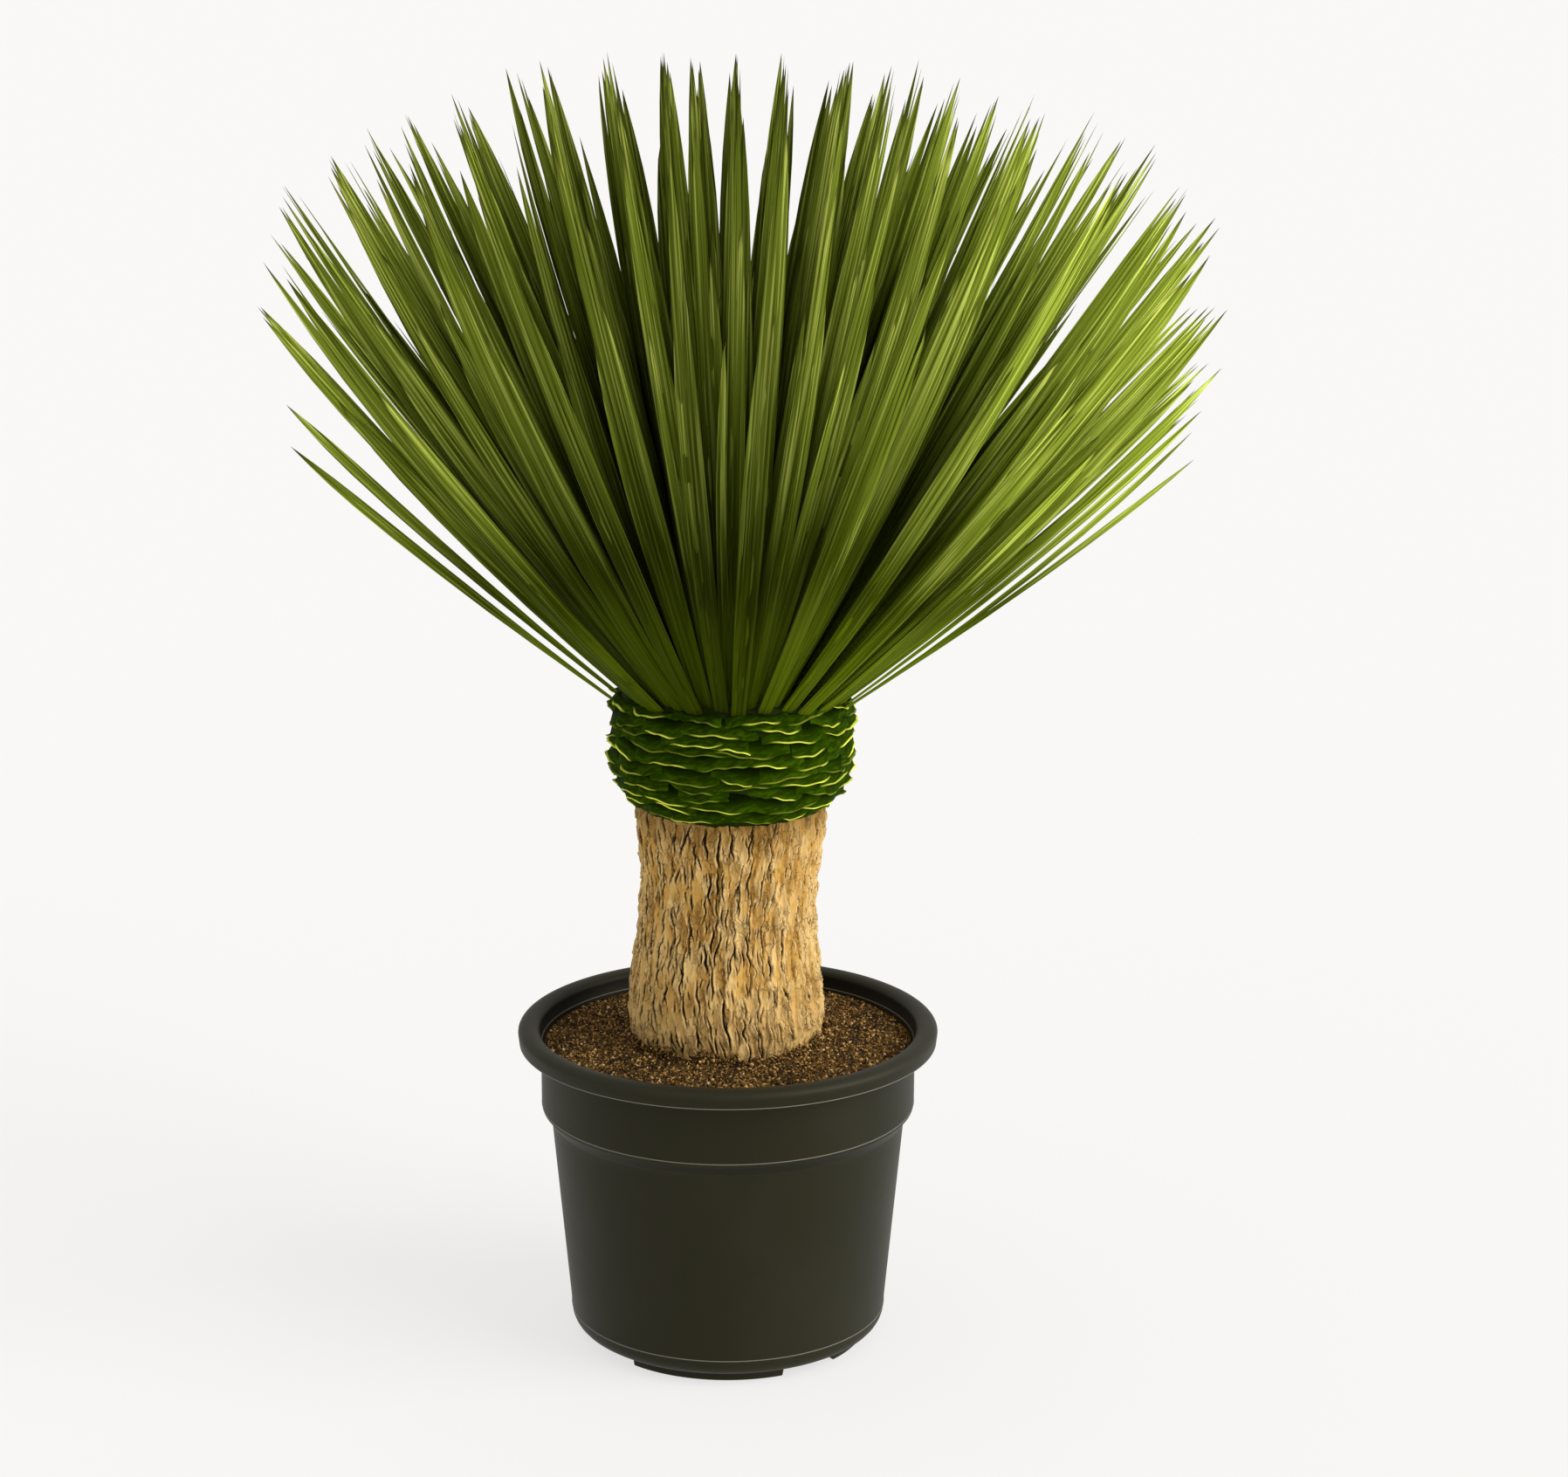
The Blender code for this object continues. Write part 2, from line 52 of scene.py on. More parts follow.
camera = bpy.data.objects.new("camera", bpy.data.cameras.new("camera"))
camera.data.sensor_width = SENSOR_WIDTH
camera.data.lens = SENSOR_WIDTH * FOCAL_PIXELS / PHOTO_WIDTH
camera.location = (
    0.0,
    -CAMERA_DISTANCE * math.cos(CAMERA_RAISE),
    AIM_HEIGHT + CAMERA_DISTANCE * math.sin(CAMERA_RAISE),
)
yaw = -math.atan((PHOTO_WIDTH / 2 - AIM_PIXEL[0]) / FOCAL_PIXELS)
pitch = math.atan((PHOTO_HEIGHT / 2 - AIM_PIXEL[1]) / FOCAL_PIXELS)
turn = Euler((math.pi / 2 - CAMERA_RAISE - pitch, 0.0, yaw)).to_matrix()
turn = turn @ Euler((0.0, 0.0, CAMERA_ROLL)).to_matrix()
camera.rotation_euler = turn.to_euler()
bpy.context.scene.collection.objects.link(camera)
bpy.context.scene.camera = camera

# The studio: a wide white floor that glows a little, even light from all round, and one large
# soft light on the right that throws a faint shadow to the left.
FLOOR_SIZE = 400.0
FLOOR_TONE = (0.27, 0.267, 0.262)
FLOOR_GLOW = 0.689
FLOOR_GLOW_TONE = (1.0, 0.992, 0.98)
ROOM_TONE = (1.0, 0.99, 0.965)
ROOM_STRENGTH = 0.64
KEY_STRENGTH = 2.45
KEY_SPREAD = math.radians(50)
KEY_RAISE = math.radians(25)
KEY_SIDE = math.radians(68)  # from the front towards the right


def bare_mesh(name, points, faces):
    """A mesh from an array of points and one or more arrays of faces with equally many corners."""
    mesh = bpy.data.meshes.new(name)
    sizes = np.concatenate([np.full(len(group), group.shape[1]) for group in faces])
    corners = np.concatenate([group.ravel() for group in faces])
    mesh.vertices.add(len(points))
    mesh.vertices.foreach_set("co", np.asarray(points, np.float32).ravel())
    mesh.loops.add(len(corners))
    mesh.loops.foreach_set("vertex_index", corners.astype(np.int32))
    mesh.polygons.add(len(sizes))
    mesh.polygons.foreach_set("loop_start", (np.cumsum(sizes) - sizes).astype(np.int32))
    mesh.update(calc_edges=True)
    return mesh


def placed(name, mesh, material):
    piece = bpy.data.objects.new(name, mesh)
    mesh.materials.append(material)
    bpy.context.scene.collection.objects.link(piece)
    return piece


def finish_of(name, colour, roughness, shine=0.5):
    """A material whose shader has these constant values, and its node tree."""
    material = bpy.data.materials.new(name)
    material.use_nodes = True
    shader = material.node_tree.nodes["Principled BSDF"]
    shader.inputs["Base Color"].default_value = (*colour, 1.0)
    shader.inputs["Roughness"].default_value = roughness
    shader.inputs["Specular IOR Level"].default_value = shine
    return material, material.node_tree, shader


half = FLOOR_SIZE / 2
floor_corners = np.array([(-half, -half, 0), (half, -half, 0), (half, half, 0), (-half, half, 0)])
lit_white, _, lit_shader = finish_of("lit white", FLOOR_TONE, 0.9, 0.0)
lit_shader.inputs["Emission Color"].default_value = (*FLOOR_GLOW_TONE, 1.0)
lit_shader.inputs["Emission Strength"].default_value = FLOOR_GLOW
floor = placed("floor", bare_mesh("floor", floor_corners, [np.array([[0, 1, 2, 3]])]), lit_white)

room = bpy.data.worlds.new("studio")
room.use_nodes = True
room.node_tree.nodes["Background"].inputs["Color"].default_value = (*ROOM_TONE, 1.0)
room.node_tree.nodes["Background"].inputs["Strength"].default_value = ROOM_STRENGTH
bpy.context.scene.world = room
bpy.context.scene.view_settings.view_transform = "Standard"

key = bpy.data.objects.new("soft key", bpy.data.lights.new("soft key", "SUN"))
key.data.energy = KEY_STRENGTH
key.data.angle = KEY_SPREAD
key.rotation_euler = (math.pi / 2 - KEY_RAISE, 0.0, KEY_SIDE)
bpy.context.scene.collection.objects.link(key)

# The nursery pot: black polypropylene, injection moulded in one piece, with a rolled rim, a
# shoulder band, a tapering wall and a foot ring with four notches that lets the water out.
POT_HEIGHT = 0.407
POT_STEPS = 176
RIM_RADIUS = 0.2626
RIM_WIDTH = 0.027
RIM_DROP = 0.023
RIM_CROWN = 0.009
RIM_TUCK = 0.002
BAND_RADIUS = 0.2342
BAND_BOTTOM = 0.302
BODY_TOP_RADIUS = 0.2212
BODY_TOP = 0.280
BODY_FOOT_RADIUS = 0.199
BODY_FOOT = 0.034
BASE_RADIUS = 0.184
FOOT_RADIUS = 0.176
FOOT_WIDTH = 0.014
FOOT_HEIGHT = 0.014
POT_WALL = 0.003
POT_FLOOR = 0.004
NOTCH_COUNT = 4
NOTCH_ANGLE = math.radians(35.5)
NOTCH_WIDTH = 0.086
NOTCH_TAPER = 0.86
DRAIN_COUNT = 6
DRAIN_RADIUS = 0.008
DRAIN_CIRCLE = 0.115
MOULD_LINE = 0.0006  # radius of the fine raised line that the mould leaves along an edge
BAND_LINE = BAND_BOTTOM + 0.0035  # heights of two such lines
FOOT_LINE = BODY_FOOT + 0.002
FOOT_EDGE = 0.0012  # bevel of the foot ring's edges
RIM_UNDERCUT = 0.0005  # how far the rim's underside hangs below its side face
RIM_DUST_HIGHLIGHT_BELOW = (0.013, 0.003)  # dust and a painted highlight lie on the rim's top, from so far below it
RIM_DUST_HIGHLIGHT_INSIDE = 0.020  # and so far in from its outer edge
INNER_SHADE_BLEND = 0.0015
PLASTIC_GRAIN = 0.00012
POT_BLACK = (0.0110, 0.0105, 0.0036)
POT_DUST_AND_HIGHLIGHT = (0.023, 0.022, 0.013)
POT_LINE_HIGHLIGHT = (0.19, 0.185, 0.145)  # the mould lines, painted paler as a highlight
POT_INNER_SHADE = (0.0015, 0.0014, 0.0005)  # painted shade on the inner wall above the soil
SOIL_EDGE = 0.381


def arc(centre, radii, start, end, count):
    """Points of an elliptic arc. Its angles, in degrees, run from straight up towards +X."""
    angles = np.radians(np.linspace(start, end, count))
    return [
        (centre[0] + radii[0] * math.sin(angle), centre[1] + radii[1] * math.cos(angle))
        for angle in angles
    ]


def turned(name, profile, steps, material):
    """A turned piece. The profile's points are (radius, height) and run down its outer side."""
    mesh = bpy.data.meshes.new(name)
    points = [(radius, 0.0, height) for radius, height in profile]
    mesh.from_pydata(points, [(i, i + 1) for i in range(len(points) - 1)], [])
    piece = placed(name, mesh, material)
    screw = piece.modifiers.new("turn", "SCREW")
    screw.axis = "Z"
    screw.steps = steps
    screw.render_steps = steps
    screw.use_merge_vertices = True
    screw.merge_threshold = 0.00001
    return piece


def applied(piece, sharp_from=40):
    """Applies a piece's modifiers and shades it smooth, save for edges sharper than this."""
    graph = bpy.context.evaluated_depsgraph_get()
    mesh = bpy.data.meshes.new_from_object(piece.evaluated_get(graph))
    piece.modifiers.clear()
    piece.data = mesh
    mesh.shade_smooth()
    mesh.set_sharp_from_angle(angle=math.radians(sharp_from))


def node(tree, kind, **values):
    """A shader node. Each value is a number or another node's socket, for the input of that name."""
    made = tree.nodes.new("ShaderNode" + kind)
    for name, value in values.items():
        socket = made.inputs[name.replace("_", " ")]
        if isinstance(value, bpy.types.NodeSocket):
            tree.links.new(value, socket)
        else:
            socket.default_value = value
    return made


def sums(tree, operation, first, second=0.0, third=0.0):
    """The result of a Math node on up to three numbers or sockets."""
    made = tree.nodes.new("ShaderNodeMath")
    made.operation = operation
    for socket, value in zip(made.inputs, (first, second, third)):
        if isinstance(value, bpy.types.NodeSocket):
            tree.links.new(value, socket)
        else:
            socket.default_value = value
    return made.outputs[0]


def between(tree, share, low, high):
    """A colour between two, by a share from 0 to 1. Each colour is a triple or a socket."""
    made = tree.nodes.new("ShaderNodeMix")
    made.data_type = "RGBA"
    sockets = (made.inputs[0], made.inputs[6], made.inputs[7])
    for socket, value in zip(sockets, (share, low, high)):
        if isinstance(value, bpy.types.NodeSocket):
            tree.links.new(value, socket)
        elif isinstance(value, tuple):
            socket.default_value = (*value, 1.0)
        else:
            socket.default_value = value
    return made.outputs[2]


def step_up(tree, value, low, high):
    """0 below low and 1 above high, with a smooth rise between. Low may be the higher number."""
    made = node(tree, "MapRange", Value=value, From_Min=low, From_Max=high)
    made.interpolation_type = "SMOOTHSTEP"
    return made.outputs["Result"]


def over(tree, colour, top, value, low, high, most=1.0):
    """A colour with another laid over it where a value goes from low to high, at most this thickly."""
    share = step_up(tree, value, low, high)
    if most < 1.0:
        share = sums(tree, "MULTIPLY", share, most)
    return between(tree, share, colour, top)


def cloud(tree, place, scale, detail, roughness=0.5):
    """Smooth noise about 0.5, with this many swells to a unit of the place."""
    made = node(tree, "TexNoise", Vector=place, Scale=scale, Detail=detail, Roughness=roughness)
    return made.outputs["Fac"]


def raised(tree, shader, height, depth):
    """Bump on the shader, from a height of 0 to 1 that stands for this many metres."""
    bump = node(tree, "Bump", Height=height, Distance=depth)
    tree.links.new(bump.outputs["Normal"], shader.inputs["Normal"])


def bored(piece, name, points, faces):
    """Cuts a closed tool out of a piece."""
    tool = bpy.data.objects.new(name, bare_mesh(name, points, faces))
    bpy.context.scene.collection.objects.link(tool)
    cut = piece.modifiers.new(name, "BOOLEAN")
    cut.operation = "DIFFERENCE"
    cut.object = tool
    return tool


def mould_bead(radius, height):
    """The raised line as three points of the pot's profile."""
    return arc((radius, height), (MOULD_LINE, MOULD_LINE), 30, 150, 4)


rim_bottom = POT_HEIGHT - RIM_DROP
rim_line = rim_bottom + 2 * MOULD_LINE
rim_middle = (RIM_RADIUS - RIM_WIDTH / 2, POT_HEIGHT - RIM_CROWN)
wall_outline = ((FOOT_HEIGHT, BODY_FOOT, BODY_TOP, BAND_BOTTOM, POT_HEIGHT),
                (BASE_RADIUS, BODY_FOOT_RADIUS, BODY_TOP_RADIUS, BAND_RADIUS, BAND_RADIUS))


def pot_inside(height):
    return float(np.interp(height, *wall_outline)) - POT_WALL


pot_profile = [
    (0.0, FOOT_HEIGHT + POT_FLOOR),
    (pot_inside(FOOT_HEIGHT + POT_FLOOR), FOOT_HEIGHT + POT_FLOOR),
    (pot_inside(BODY_FOOT + POT_FLOOR), BODY_FOOT + POT_FLOOR),
    (pot_inside(BODY_TOP), BODY_TOP),
    (pot_inside(BAND_BOTTOM), BAND_BOTTOM),
    (pot_inside(SOIL_EDGE), SOIL_EDGE),
    (RIM_RADIUS - RIM_WIDTH - 0.0016, POT_HEIGHT - 0.020),
    *arc(rim_middle, (RIM_WIDTH / 2, RIM_CROWN), -90, 90, 17),
    (RIM_RADIUS - RIM_TUCK / 2, rim_bottom + 0.005),
    *mould_bead(RIM_RADIUS - RIM_TUCK, rim_line),
    (RIM_RADIUS - 0.006, rim_bottom - RIM_UNDERCUT),
    (BAND_RADIUS + 0.003, rim_bottom - RIM_UNDERCUT),
    (BAND_RADIUS, rim_bottom - 0.003),
    (BAND_RADIUS, BAND_BOTTOM + 0.008),
    *mould_bead(BAND_RADIUS - 0.0004, BAND_LINE),
    *arc((BAND_RADIUS - 0.004, BAND_BOTTOM + 0.001), (0.0036, 0.004), 100, 160, 4),
    *arc((BODY_TOP_RADIUS + 0.008, BODY_TOP + 0.004), (0.0075, 0.007), -30, -80, 4),
    (BODY_TOP_RADIUS - 0.0004, BODY_TOP - 0.006),
    (BODY_FOOT_RADIUS + 0.0006, BODY_FOOT + 0.010),
    *mould_bead(BODY_FOOT_RADIUS, FOOT_LINE),
    *arc((BASE_RADIUS, BODY_FOOT), (BODY_FOOT_RADIUS - BASE_RADIUS, BODY_FOOT - FOOT_HEIGHT), 96, 172, 7),
    (BASE_RADIUS - 0.002, FOOT_HEIGHT),
    (FOOT_RADIUS + FOOT_EDGE, FOOT_HEIGHT),
    (FOOT_RADIUS, FOOT_HEIGHT - FOOT_EDGE),
    (FOOT_RADIUS, FOOT_EDGE),
    (FOOT_RADIUS - FOOT_EDGE, 0.0),
    (FOOT_RADIUS - FOOT_WIDTH + FOOT_EDGE, 0.0),
    (FOOT_RADIUS - FOOT_WIDTH, FOOT_EDGE),
    (FOOT_RADIUS - FOOT_WIDTH, FOOT_HEIGHT),
    (0.0, FOOT_HEIGHT),
]

plastic, tree, shader = finish_of("black plastic", POT_BLACK, 0.50, 0.20)
shader.inputs["Specular Tint"].default_value = (1.0, 0.95, 0.70, 1.0)
place = node(tree, "TexCoord").outputs["Object"]
parts = node(tree, "SeparateXYZ", Vector=place).outputs
height = parts["Z"]
grain = cloud(tree, place, 900.0, 2.0)
clouds = cloud(tree, place, 7.0, 4.0)
colour = over(tree, POT_BLACK, POT_DUST_AND_HIGHLIGHT, clouds, 0.40, 0.75, 0.30)
flat = node(tree, "CombineXYZ", X=parts["X"], Y=parts["Y"]).outputs["Vector"]
from_axis = node(tree, "VectorMath", Vector=flat)
from_axis.operation = "LENGTH"
radius = from_axis.outputs["Value"]
rim_inside = RIM_RADIUS - RIM_WIDTH
# The rim's top is paler: dust, with a painted highlight.
on_rim = sums(tree, "MULTIPLY",
              step_up(tree, height, POT_HEIGHT - RIM_DUST_HIGHLIGHT_BELOW[0], POT_HEIGHT - RIM_DUST_HIGHLIGHT_BELOW[1]),
              step_up(tree, radius, rim_inside, RIM_RADIUS - RIM_DUST_HIGHLIGHT_INSIDE))
colour = between(tree, on_rim, colour, POT_DUST_AND_HIGHLIGHT)
# Painted shade: the inner wall above the soil is painted near black.
inner_wall = sums(tree, "MULTIPLY", step_up(tree, height, rim_bottom - INNER_SHADE_BLEND, rim_bottom),
                  step_up(tree, radius, rim_inside + INNER_SHADE_BLEND, rim_inside))
colour = between(tree, inner_wall, colour, POT_INNER_SHADE)
# Painted highlight: the mould lines are painted paler.
line_share = 0.0
for line_height in (rim_line, BAND_LINE, FOOT_LINE):
    away = sums(tree, "ABSOLUTE", sums(tree, "SUBTRACT", height, line_height))
    on_line = step_up(tree, away, 1.4 * MOULD_LINE, 0.6 * MOULD_LINE)
    line_share = sums(tree, "MAXIMUM", line_share, on_line)
colour = between(tree, sums(tree, "MULTIPLY", line_share, 0.85), colour, POT_LINE_HIGHLIGHT)
tree.links.new(colour, shader.inputs["Base Color"])
roughness = sums(tree, "MULTIPLY_ADD", clouds, 0.16, 0.44)
tree.links.new(roughness, shader.inputs["Roughness"])
raised(tree, shader, grain, PLASTIC_GRAIN)

pot = turned("pot", pot_profile, POT_STEPS, plastic)
tools = []
box_faces = np.array([[0, 3, 2, 1], [4, 5, 6, 7], [0, 1, 5, 4], [1, 2, 6, 5], [2, 3, 7, 6], [3, 0, 4, 7]])
for i in range(NOTCH_COUNT):
    angle = NOTCH_ANGLE + i * math.tau / NOTCH_COUNT
    outward = np.array((math.sin(angle), -math.cos(angle)))
    aside = np.array((math.cos(angle), math.sin(angle)))
    points = []
    for level, taper in ((-FOOT_HEIGHT, 1.0), (FOOT_HEIGHT, NOTCH_TAPER)):
        for side, depth in ((-1, -1), (1, -1), (1, 1), (-1, 1)):
            corner = outward * (FOOT_RADIUS - FOOT_WIDTH / 2 + depth * 1.5 * FOOT_WIDTH)
            corner = corner + aside * side * taper * NOTCH_WIDTH / 2
            points.append((*corner, level))
    tools.append(bored(pot, f"notch_{i}", np.array(points), [box_faces[:, ::-1]]))
drain_steps = 20
around = np.arange(drain_steps)
drain_sides = np.stack([around, (around + 1) % drain_steps,
                        (around + 1) % drain_steps + drain_steps, around + drain_steps], axis=1)
for i in range(DRAIN_COUNT):
    angle = (i + 0.5) * math.tau / DRAIN_COUNT
    ring = np.stack([DRAIN_CIRCLE * math.cos(angle) + DRAIN_RADIUS * np.cos(around * math.tau / drain_steps),
                     DRAIN_CIRCLE * math.sin(angle) + DRAIN_RADIUS * np.sin(around * math.tau / drain_steps)],
                    axis=1)
    low = np.column_stack([ring, np.full(drain_steps, FOOT_HEIGHT - POT_FLOOR)])
    high = np.column_stack([ring, np.full(drain_steps, FOOT_HEIGHT + 2 * POT_FLOOR)])
    caps = np.stack([around[::-1], around + drain_steps])
    tools.append(bored(pot, f"drain_{i}", np.concatenate([low, high]), [drain_sides, caps]))
applied(pot)
for tool in tools:
    bpy.data.objects.remove(tool, do_unlink=True)
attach(pot, "root")
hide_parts("nursery_pot")

# The potting soil: damp peat and bark fines that fill the pot, heaped a little at the trunk and
# strewn with pale chips of bark, perlite and dry fibre.
SOIL_TOP = 0.392
SOIL_RINGS = 46
SOIL_STEPS = 300
SOIL_HOLE_FLOOR = 0.2697
TRUNK_BURIED_RADIUS = 0.1075
SOIL_CLEARANCE = 0.0006
SOIL_LUMPS = 0.0042  # height of its lumps
SOIL_CALM_EDGE = 0.05  # share of its breadth, inside and outside, where they fade
AXIS_GAP = 0.0005  # radius at which its underside and its hole's floor end, to be capped
CRUMB_COUNT = 14000
CRUMB_SIZES = (0.0010, 0.0040)
CRUMB_RARITY = 2.2  # over 1, large ones are rare
CRUMB_SEAT = 0.0004  # height of a crumb's middle over the soil
CRUMB_REACH = 0.985  # as a share of the way out to the wall
FOOT_CRUMBS = 2600  # of them are banked against the trunk
FOOT_BANK = (0.019, 0.019)  # how far out that bank reaches, and how high
BANK_SOIL = 0.7  # share of its height that the soil itself has
BANK_SLOPE = 0.36  # how far in its crest lies, as a share of its reach
SOIL_SEED = 5
SOIL_DARK = (0.010, 0.0052, 0.0015)
SOIL_BROWN = (0.27, 0.140, 0.030)
SOIL_TAN = (0.72, 0.44, 0.15)


def grid_faces(rows, columns, closed):
    """Quads between the points of a grid that is stored row by row. Closed joins its ends."""
    across = columns if closed else columns - 1
    row, column = np.meshgrid(np.arange(rows - 1), np.arange(across), indexing="ij")
    here = (row * columns + column).ravel()
    beside = (row * columns + (column + 1) % columns).ravel()
    return np.stack([here, beside, beside + columns, here + columns], axis=1)


def round_axis(radius, angle, height):
    """Points at these radii from the upright axis, angles and heights."""
    return np.stack(np.broadcast_arrays(radius * np.cos(angle), radius * np.sin(angle), height), axis=-1)


def lumps(points, scale, seed):
    """Smooth noise from -1 to 1 at each point."""
    shift = Vector((seed * 7.3, seed * 3.1, seed * 5.7))
    return np.array([noise.noise(Vector(point) * scale + shift) for point in points])


def soil_swell(points):
    """How far the soil swells or sinks at each point, from about -1 to 1."""
    return 0.65 * lumps(points, 22, 1) + 0.35 * lumps(points, 75, 2) + 0.35 * lumps(points, 260, 3)


def marked(mesh, name, values):
    """Stores one number, or one vector, for each point of a mesh."""
    vector = values.ndim == 2
    layer = mesh.attributes.new(name, "FLOAT_VECTOR" if vector else "FLOAT", "POINT")
    field = "vector" if vector else "value"
    layer.data.foreach_set(field, np.asarray(values, np.float32).ravel())


def mark(tree, name):
    """What marked stored under that name, as sockets."""
    made = node(tree, "Attribute")
    made.attribute_name = name
    return made.outputs


def drifts(angle):
    """How high the soil is banked against the trunk there, from 0 to 1."""
    broad = np.sin(7 * angle + 1.3 * np.sin(3 * angle))
    return (1 + 0.45 * broad + 0.45 * np.sin(23 * angle + 2 * np.sin(5 * angle))) / 1.9


rng = np.random.default_rng(SOIL_SEED)
hole = TRUNK_BURIED_RADIUS + SOIL_CLEARANCE
soil_wall = pot_inside(SOIL_EDGE) - SOIL_CLEARANCE
shares = np.linspace(0, 1, SOIL_RINGS)
soil_radii = hole + (soil_wall - hole) * shares
soil_heights = SOIL_TOP + (SOIL_EDGE - SOIL_TOP) * shares
lower = [(pot_inside(z) - SOIL_CLEARANCE, z) for z in (BAND_BOTTOM, BODY_TOP, BODY_FOOT + POT_FLOOR,
                                                       FOOT_HEIGHT + POT_FLOOR + SOIL_CLEARANCE)]
radii = np.concatenate([[AXIS_GAP, hole], soil_radii, [r for r, _ in lower], [AXIS_GAP]])
heights = np.concatenate([[SOIL_HOLE_FLOOR] * 2, soil_heights, [z for _, z in lower], [lower[-1][1]]])
theta = np.arange(SOIL_STEPS) * math.tau / SOIL_STEPS
soil_points = round_axis(radii[:, None], theta, heights[:, None])
surface = soil_points[2:2 + SOIL_RINGS].reshape(-1, 3)
edge_share = np.minimum(1, np.minimum(shares, 1 - shares) / SOIL_CALM_EDGE)
surface[:, 2] += SOIL_LUMPS * soil_swell(surface) * np.repeat(edge_share, SOIL_STEPS)
surface = surface.reshape(SOIL_RINGS, SOIL_STEPS, 3)
banked = np.exp(-((soil_radii - hole) / FOOT_BANK[0] * 1.6) ** 2)
surface[:, :, 2] += BANK_SOIL * FOOT_BANK[1] * banked[:, None] * drifts(theta)
soil_points[2:2 + SOIL_RINGS] = surface
ring = np.arange(SOIL_STEPS)
last = (len(radii) - 1) * SOIL_STEPS
soil_mesh = bare_mesh("soil", soil_points.reshape(-1, 3),
                      [grid_faces(len(radii), SOIL_STEPS, True)[:, ::-1],
                       np.stack([ring, (ring + last)[::-1]])])
soil_mesh.shade_smooth()
peat, tree, shader = finish_of("damp peat", SOIL_BROWN, 0.95, 0.2)
place = node(tree, "TexCoord").outputs["Object"]
specks = cloud(tree, place, 330.0, 3.0, 0.7)
patches = cloud(tree, place, 24.0, 3.0)
cells = node(tree, "TexVoronoi", Vector=place, Scale=420.0).outputs["Color"]
chance = node(tree, "SeparateColor", Color=cells).outputs["Red"]
colour = over(tree, SOIL_DARK, SOIL_BROWN, specks, 0.38, 0.66)
colour = over(tree, colour, SOIL_DARK, patches, 0.35, 0.72)
colour = over(tree, colour, SOIL_TAN, chance, 0.90, 0.97)
tree.links.new(colour, shader.inputs["Base Color"])
raised(tree, shader, specks, 0.0022)
soil = placed("soil", soil_mesh, peat)
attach(soil, "root")
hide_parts("potting_soil")

# Loose on the soil lie its coarser crumbs: rough grains of peat, bark and perlite, with a bank of
# them against the trunk.
crumb_points = np.array([(1, 0, 0), (0, 1, 0), (-1, 0, 0), (0, -1, 0), (0, 0, 1), (0, 0, -1)], float)
crumb_faces = np.array([[0, 1, 4], [1, 2, 4], [2, 3, 4], [3, 0, 4],
                        [1, 0, 5], [2, 1, 5], [3, 2, 5], [0, 3, 5]])
share = np.sqrt(rng.uniform(((hole + 0.003) / soil_wall) ** 2, CRUMB_REACH ** 2, CRUMB_COUNT))
crumb_radius = share * soil_wall
crumb_angle = rng.uniform(0, math.tau, CRUMB_COUNT)
slope = np.clip((crumb_radius - hole) / (soil_wall - hole), 0, 1)
seats = round_axis(crumb_radius, crumb_angle, SOIL_TOP + (SOIL_EDGE - SOIL_TOP) * slope)
seats[:, 2] += SOIL_LUMPS * soil_swell(seats) + CRUMB_SEAT
at_foot = np.arange(CRUMB_COUNT) < FOOT_CRUMBS
bank = rng.uniform(0, 1, CRUMB_COUNT) * drifts(crumb_angle)
foot_radius = hole + FOOT_BANK[0] * (1 - BANK_SLOPE * bank) * rng.uniform(0.85, 1.1, CRUMB_COUNT)
foot_seats = round_axis(foot_radius, crumb_angle, SOIL_TOP + FOOT_BANK[1] * bank)
seats = np.where(at_foot[:, None], foot_seats, seats)
sizes = rng.uniform(0, 1, CRUMB_COUNT) ** CRUMB_RARITY * (CRUMB_SIZES[1] - CRUMB_SIZES[0]) + CRUMB_SIZES[0]
shape = rng.uniform(0.45, 1.3, (CRUMB_COUNT, 6, 1)) * crumb_points * (1.0, 0.75, 0.5)
spin = np.array([Euler(angles).to_matrix() for angles in rng.uniform(0, math.tau, (CRUMB_COUNT, 3))])
crumbs = seats[:, None, :] + sizes[:, None, None] * np.einsum("nij,nkj->nki", spin, shape)
faces = (np.arange(CRUMB_COUNT)[:, None, None] * 6 + crumb_faces).reshape(-1, 3)
crumb_mesh = bare_mesh("crumbs", crumbs.reshape(-1, 3), [faces])
tone = rng.uniform(0, 1, CRUMB_COUNT)
marked(crumb_mesh, "tone", np.repeat(tone, 6))
crumb_finish, tree, shader = finish_of("soil crumbs", SOIL_BROWN, 0.9, 0.25)
ramp = tree.nodes.new("ShaderNodeValToRGB")
stops = ((0.0, SOIL_DARK), (0.38, (0.066, 0.032, 0.006)), (0.68, SOIL_BROWN),
         (0.85, (0.40, 0.215, 0.055)), (0.95, SOIL_TAN), (1.0, (0.74, 0.54, 0.26)))
ramp.color_ramp.elements.remove(ramp.color_ramp.elements[1])
ramp.color_ramp.elements[0].color = (*stops[0][1], 1.0)
for at, stop_colour in stops[1:]:
    ramp.color_ramp.elements.new(at).color = (*stop_colour, 1.0)
tree.links.new(mark(tree, "tone")["Fac"], ramp.inputs["Fac"])
tree.links.new(ramp.outputs["Color"], shader.inputs["Base Color"])
crumb_piece = placed("soil_crumbs", crumb_mesh, crumb_finish)
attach(crumb_piece, "root")

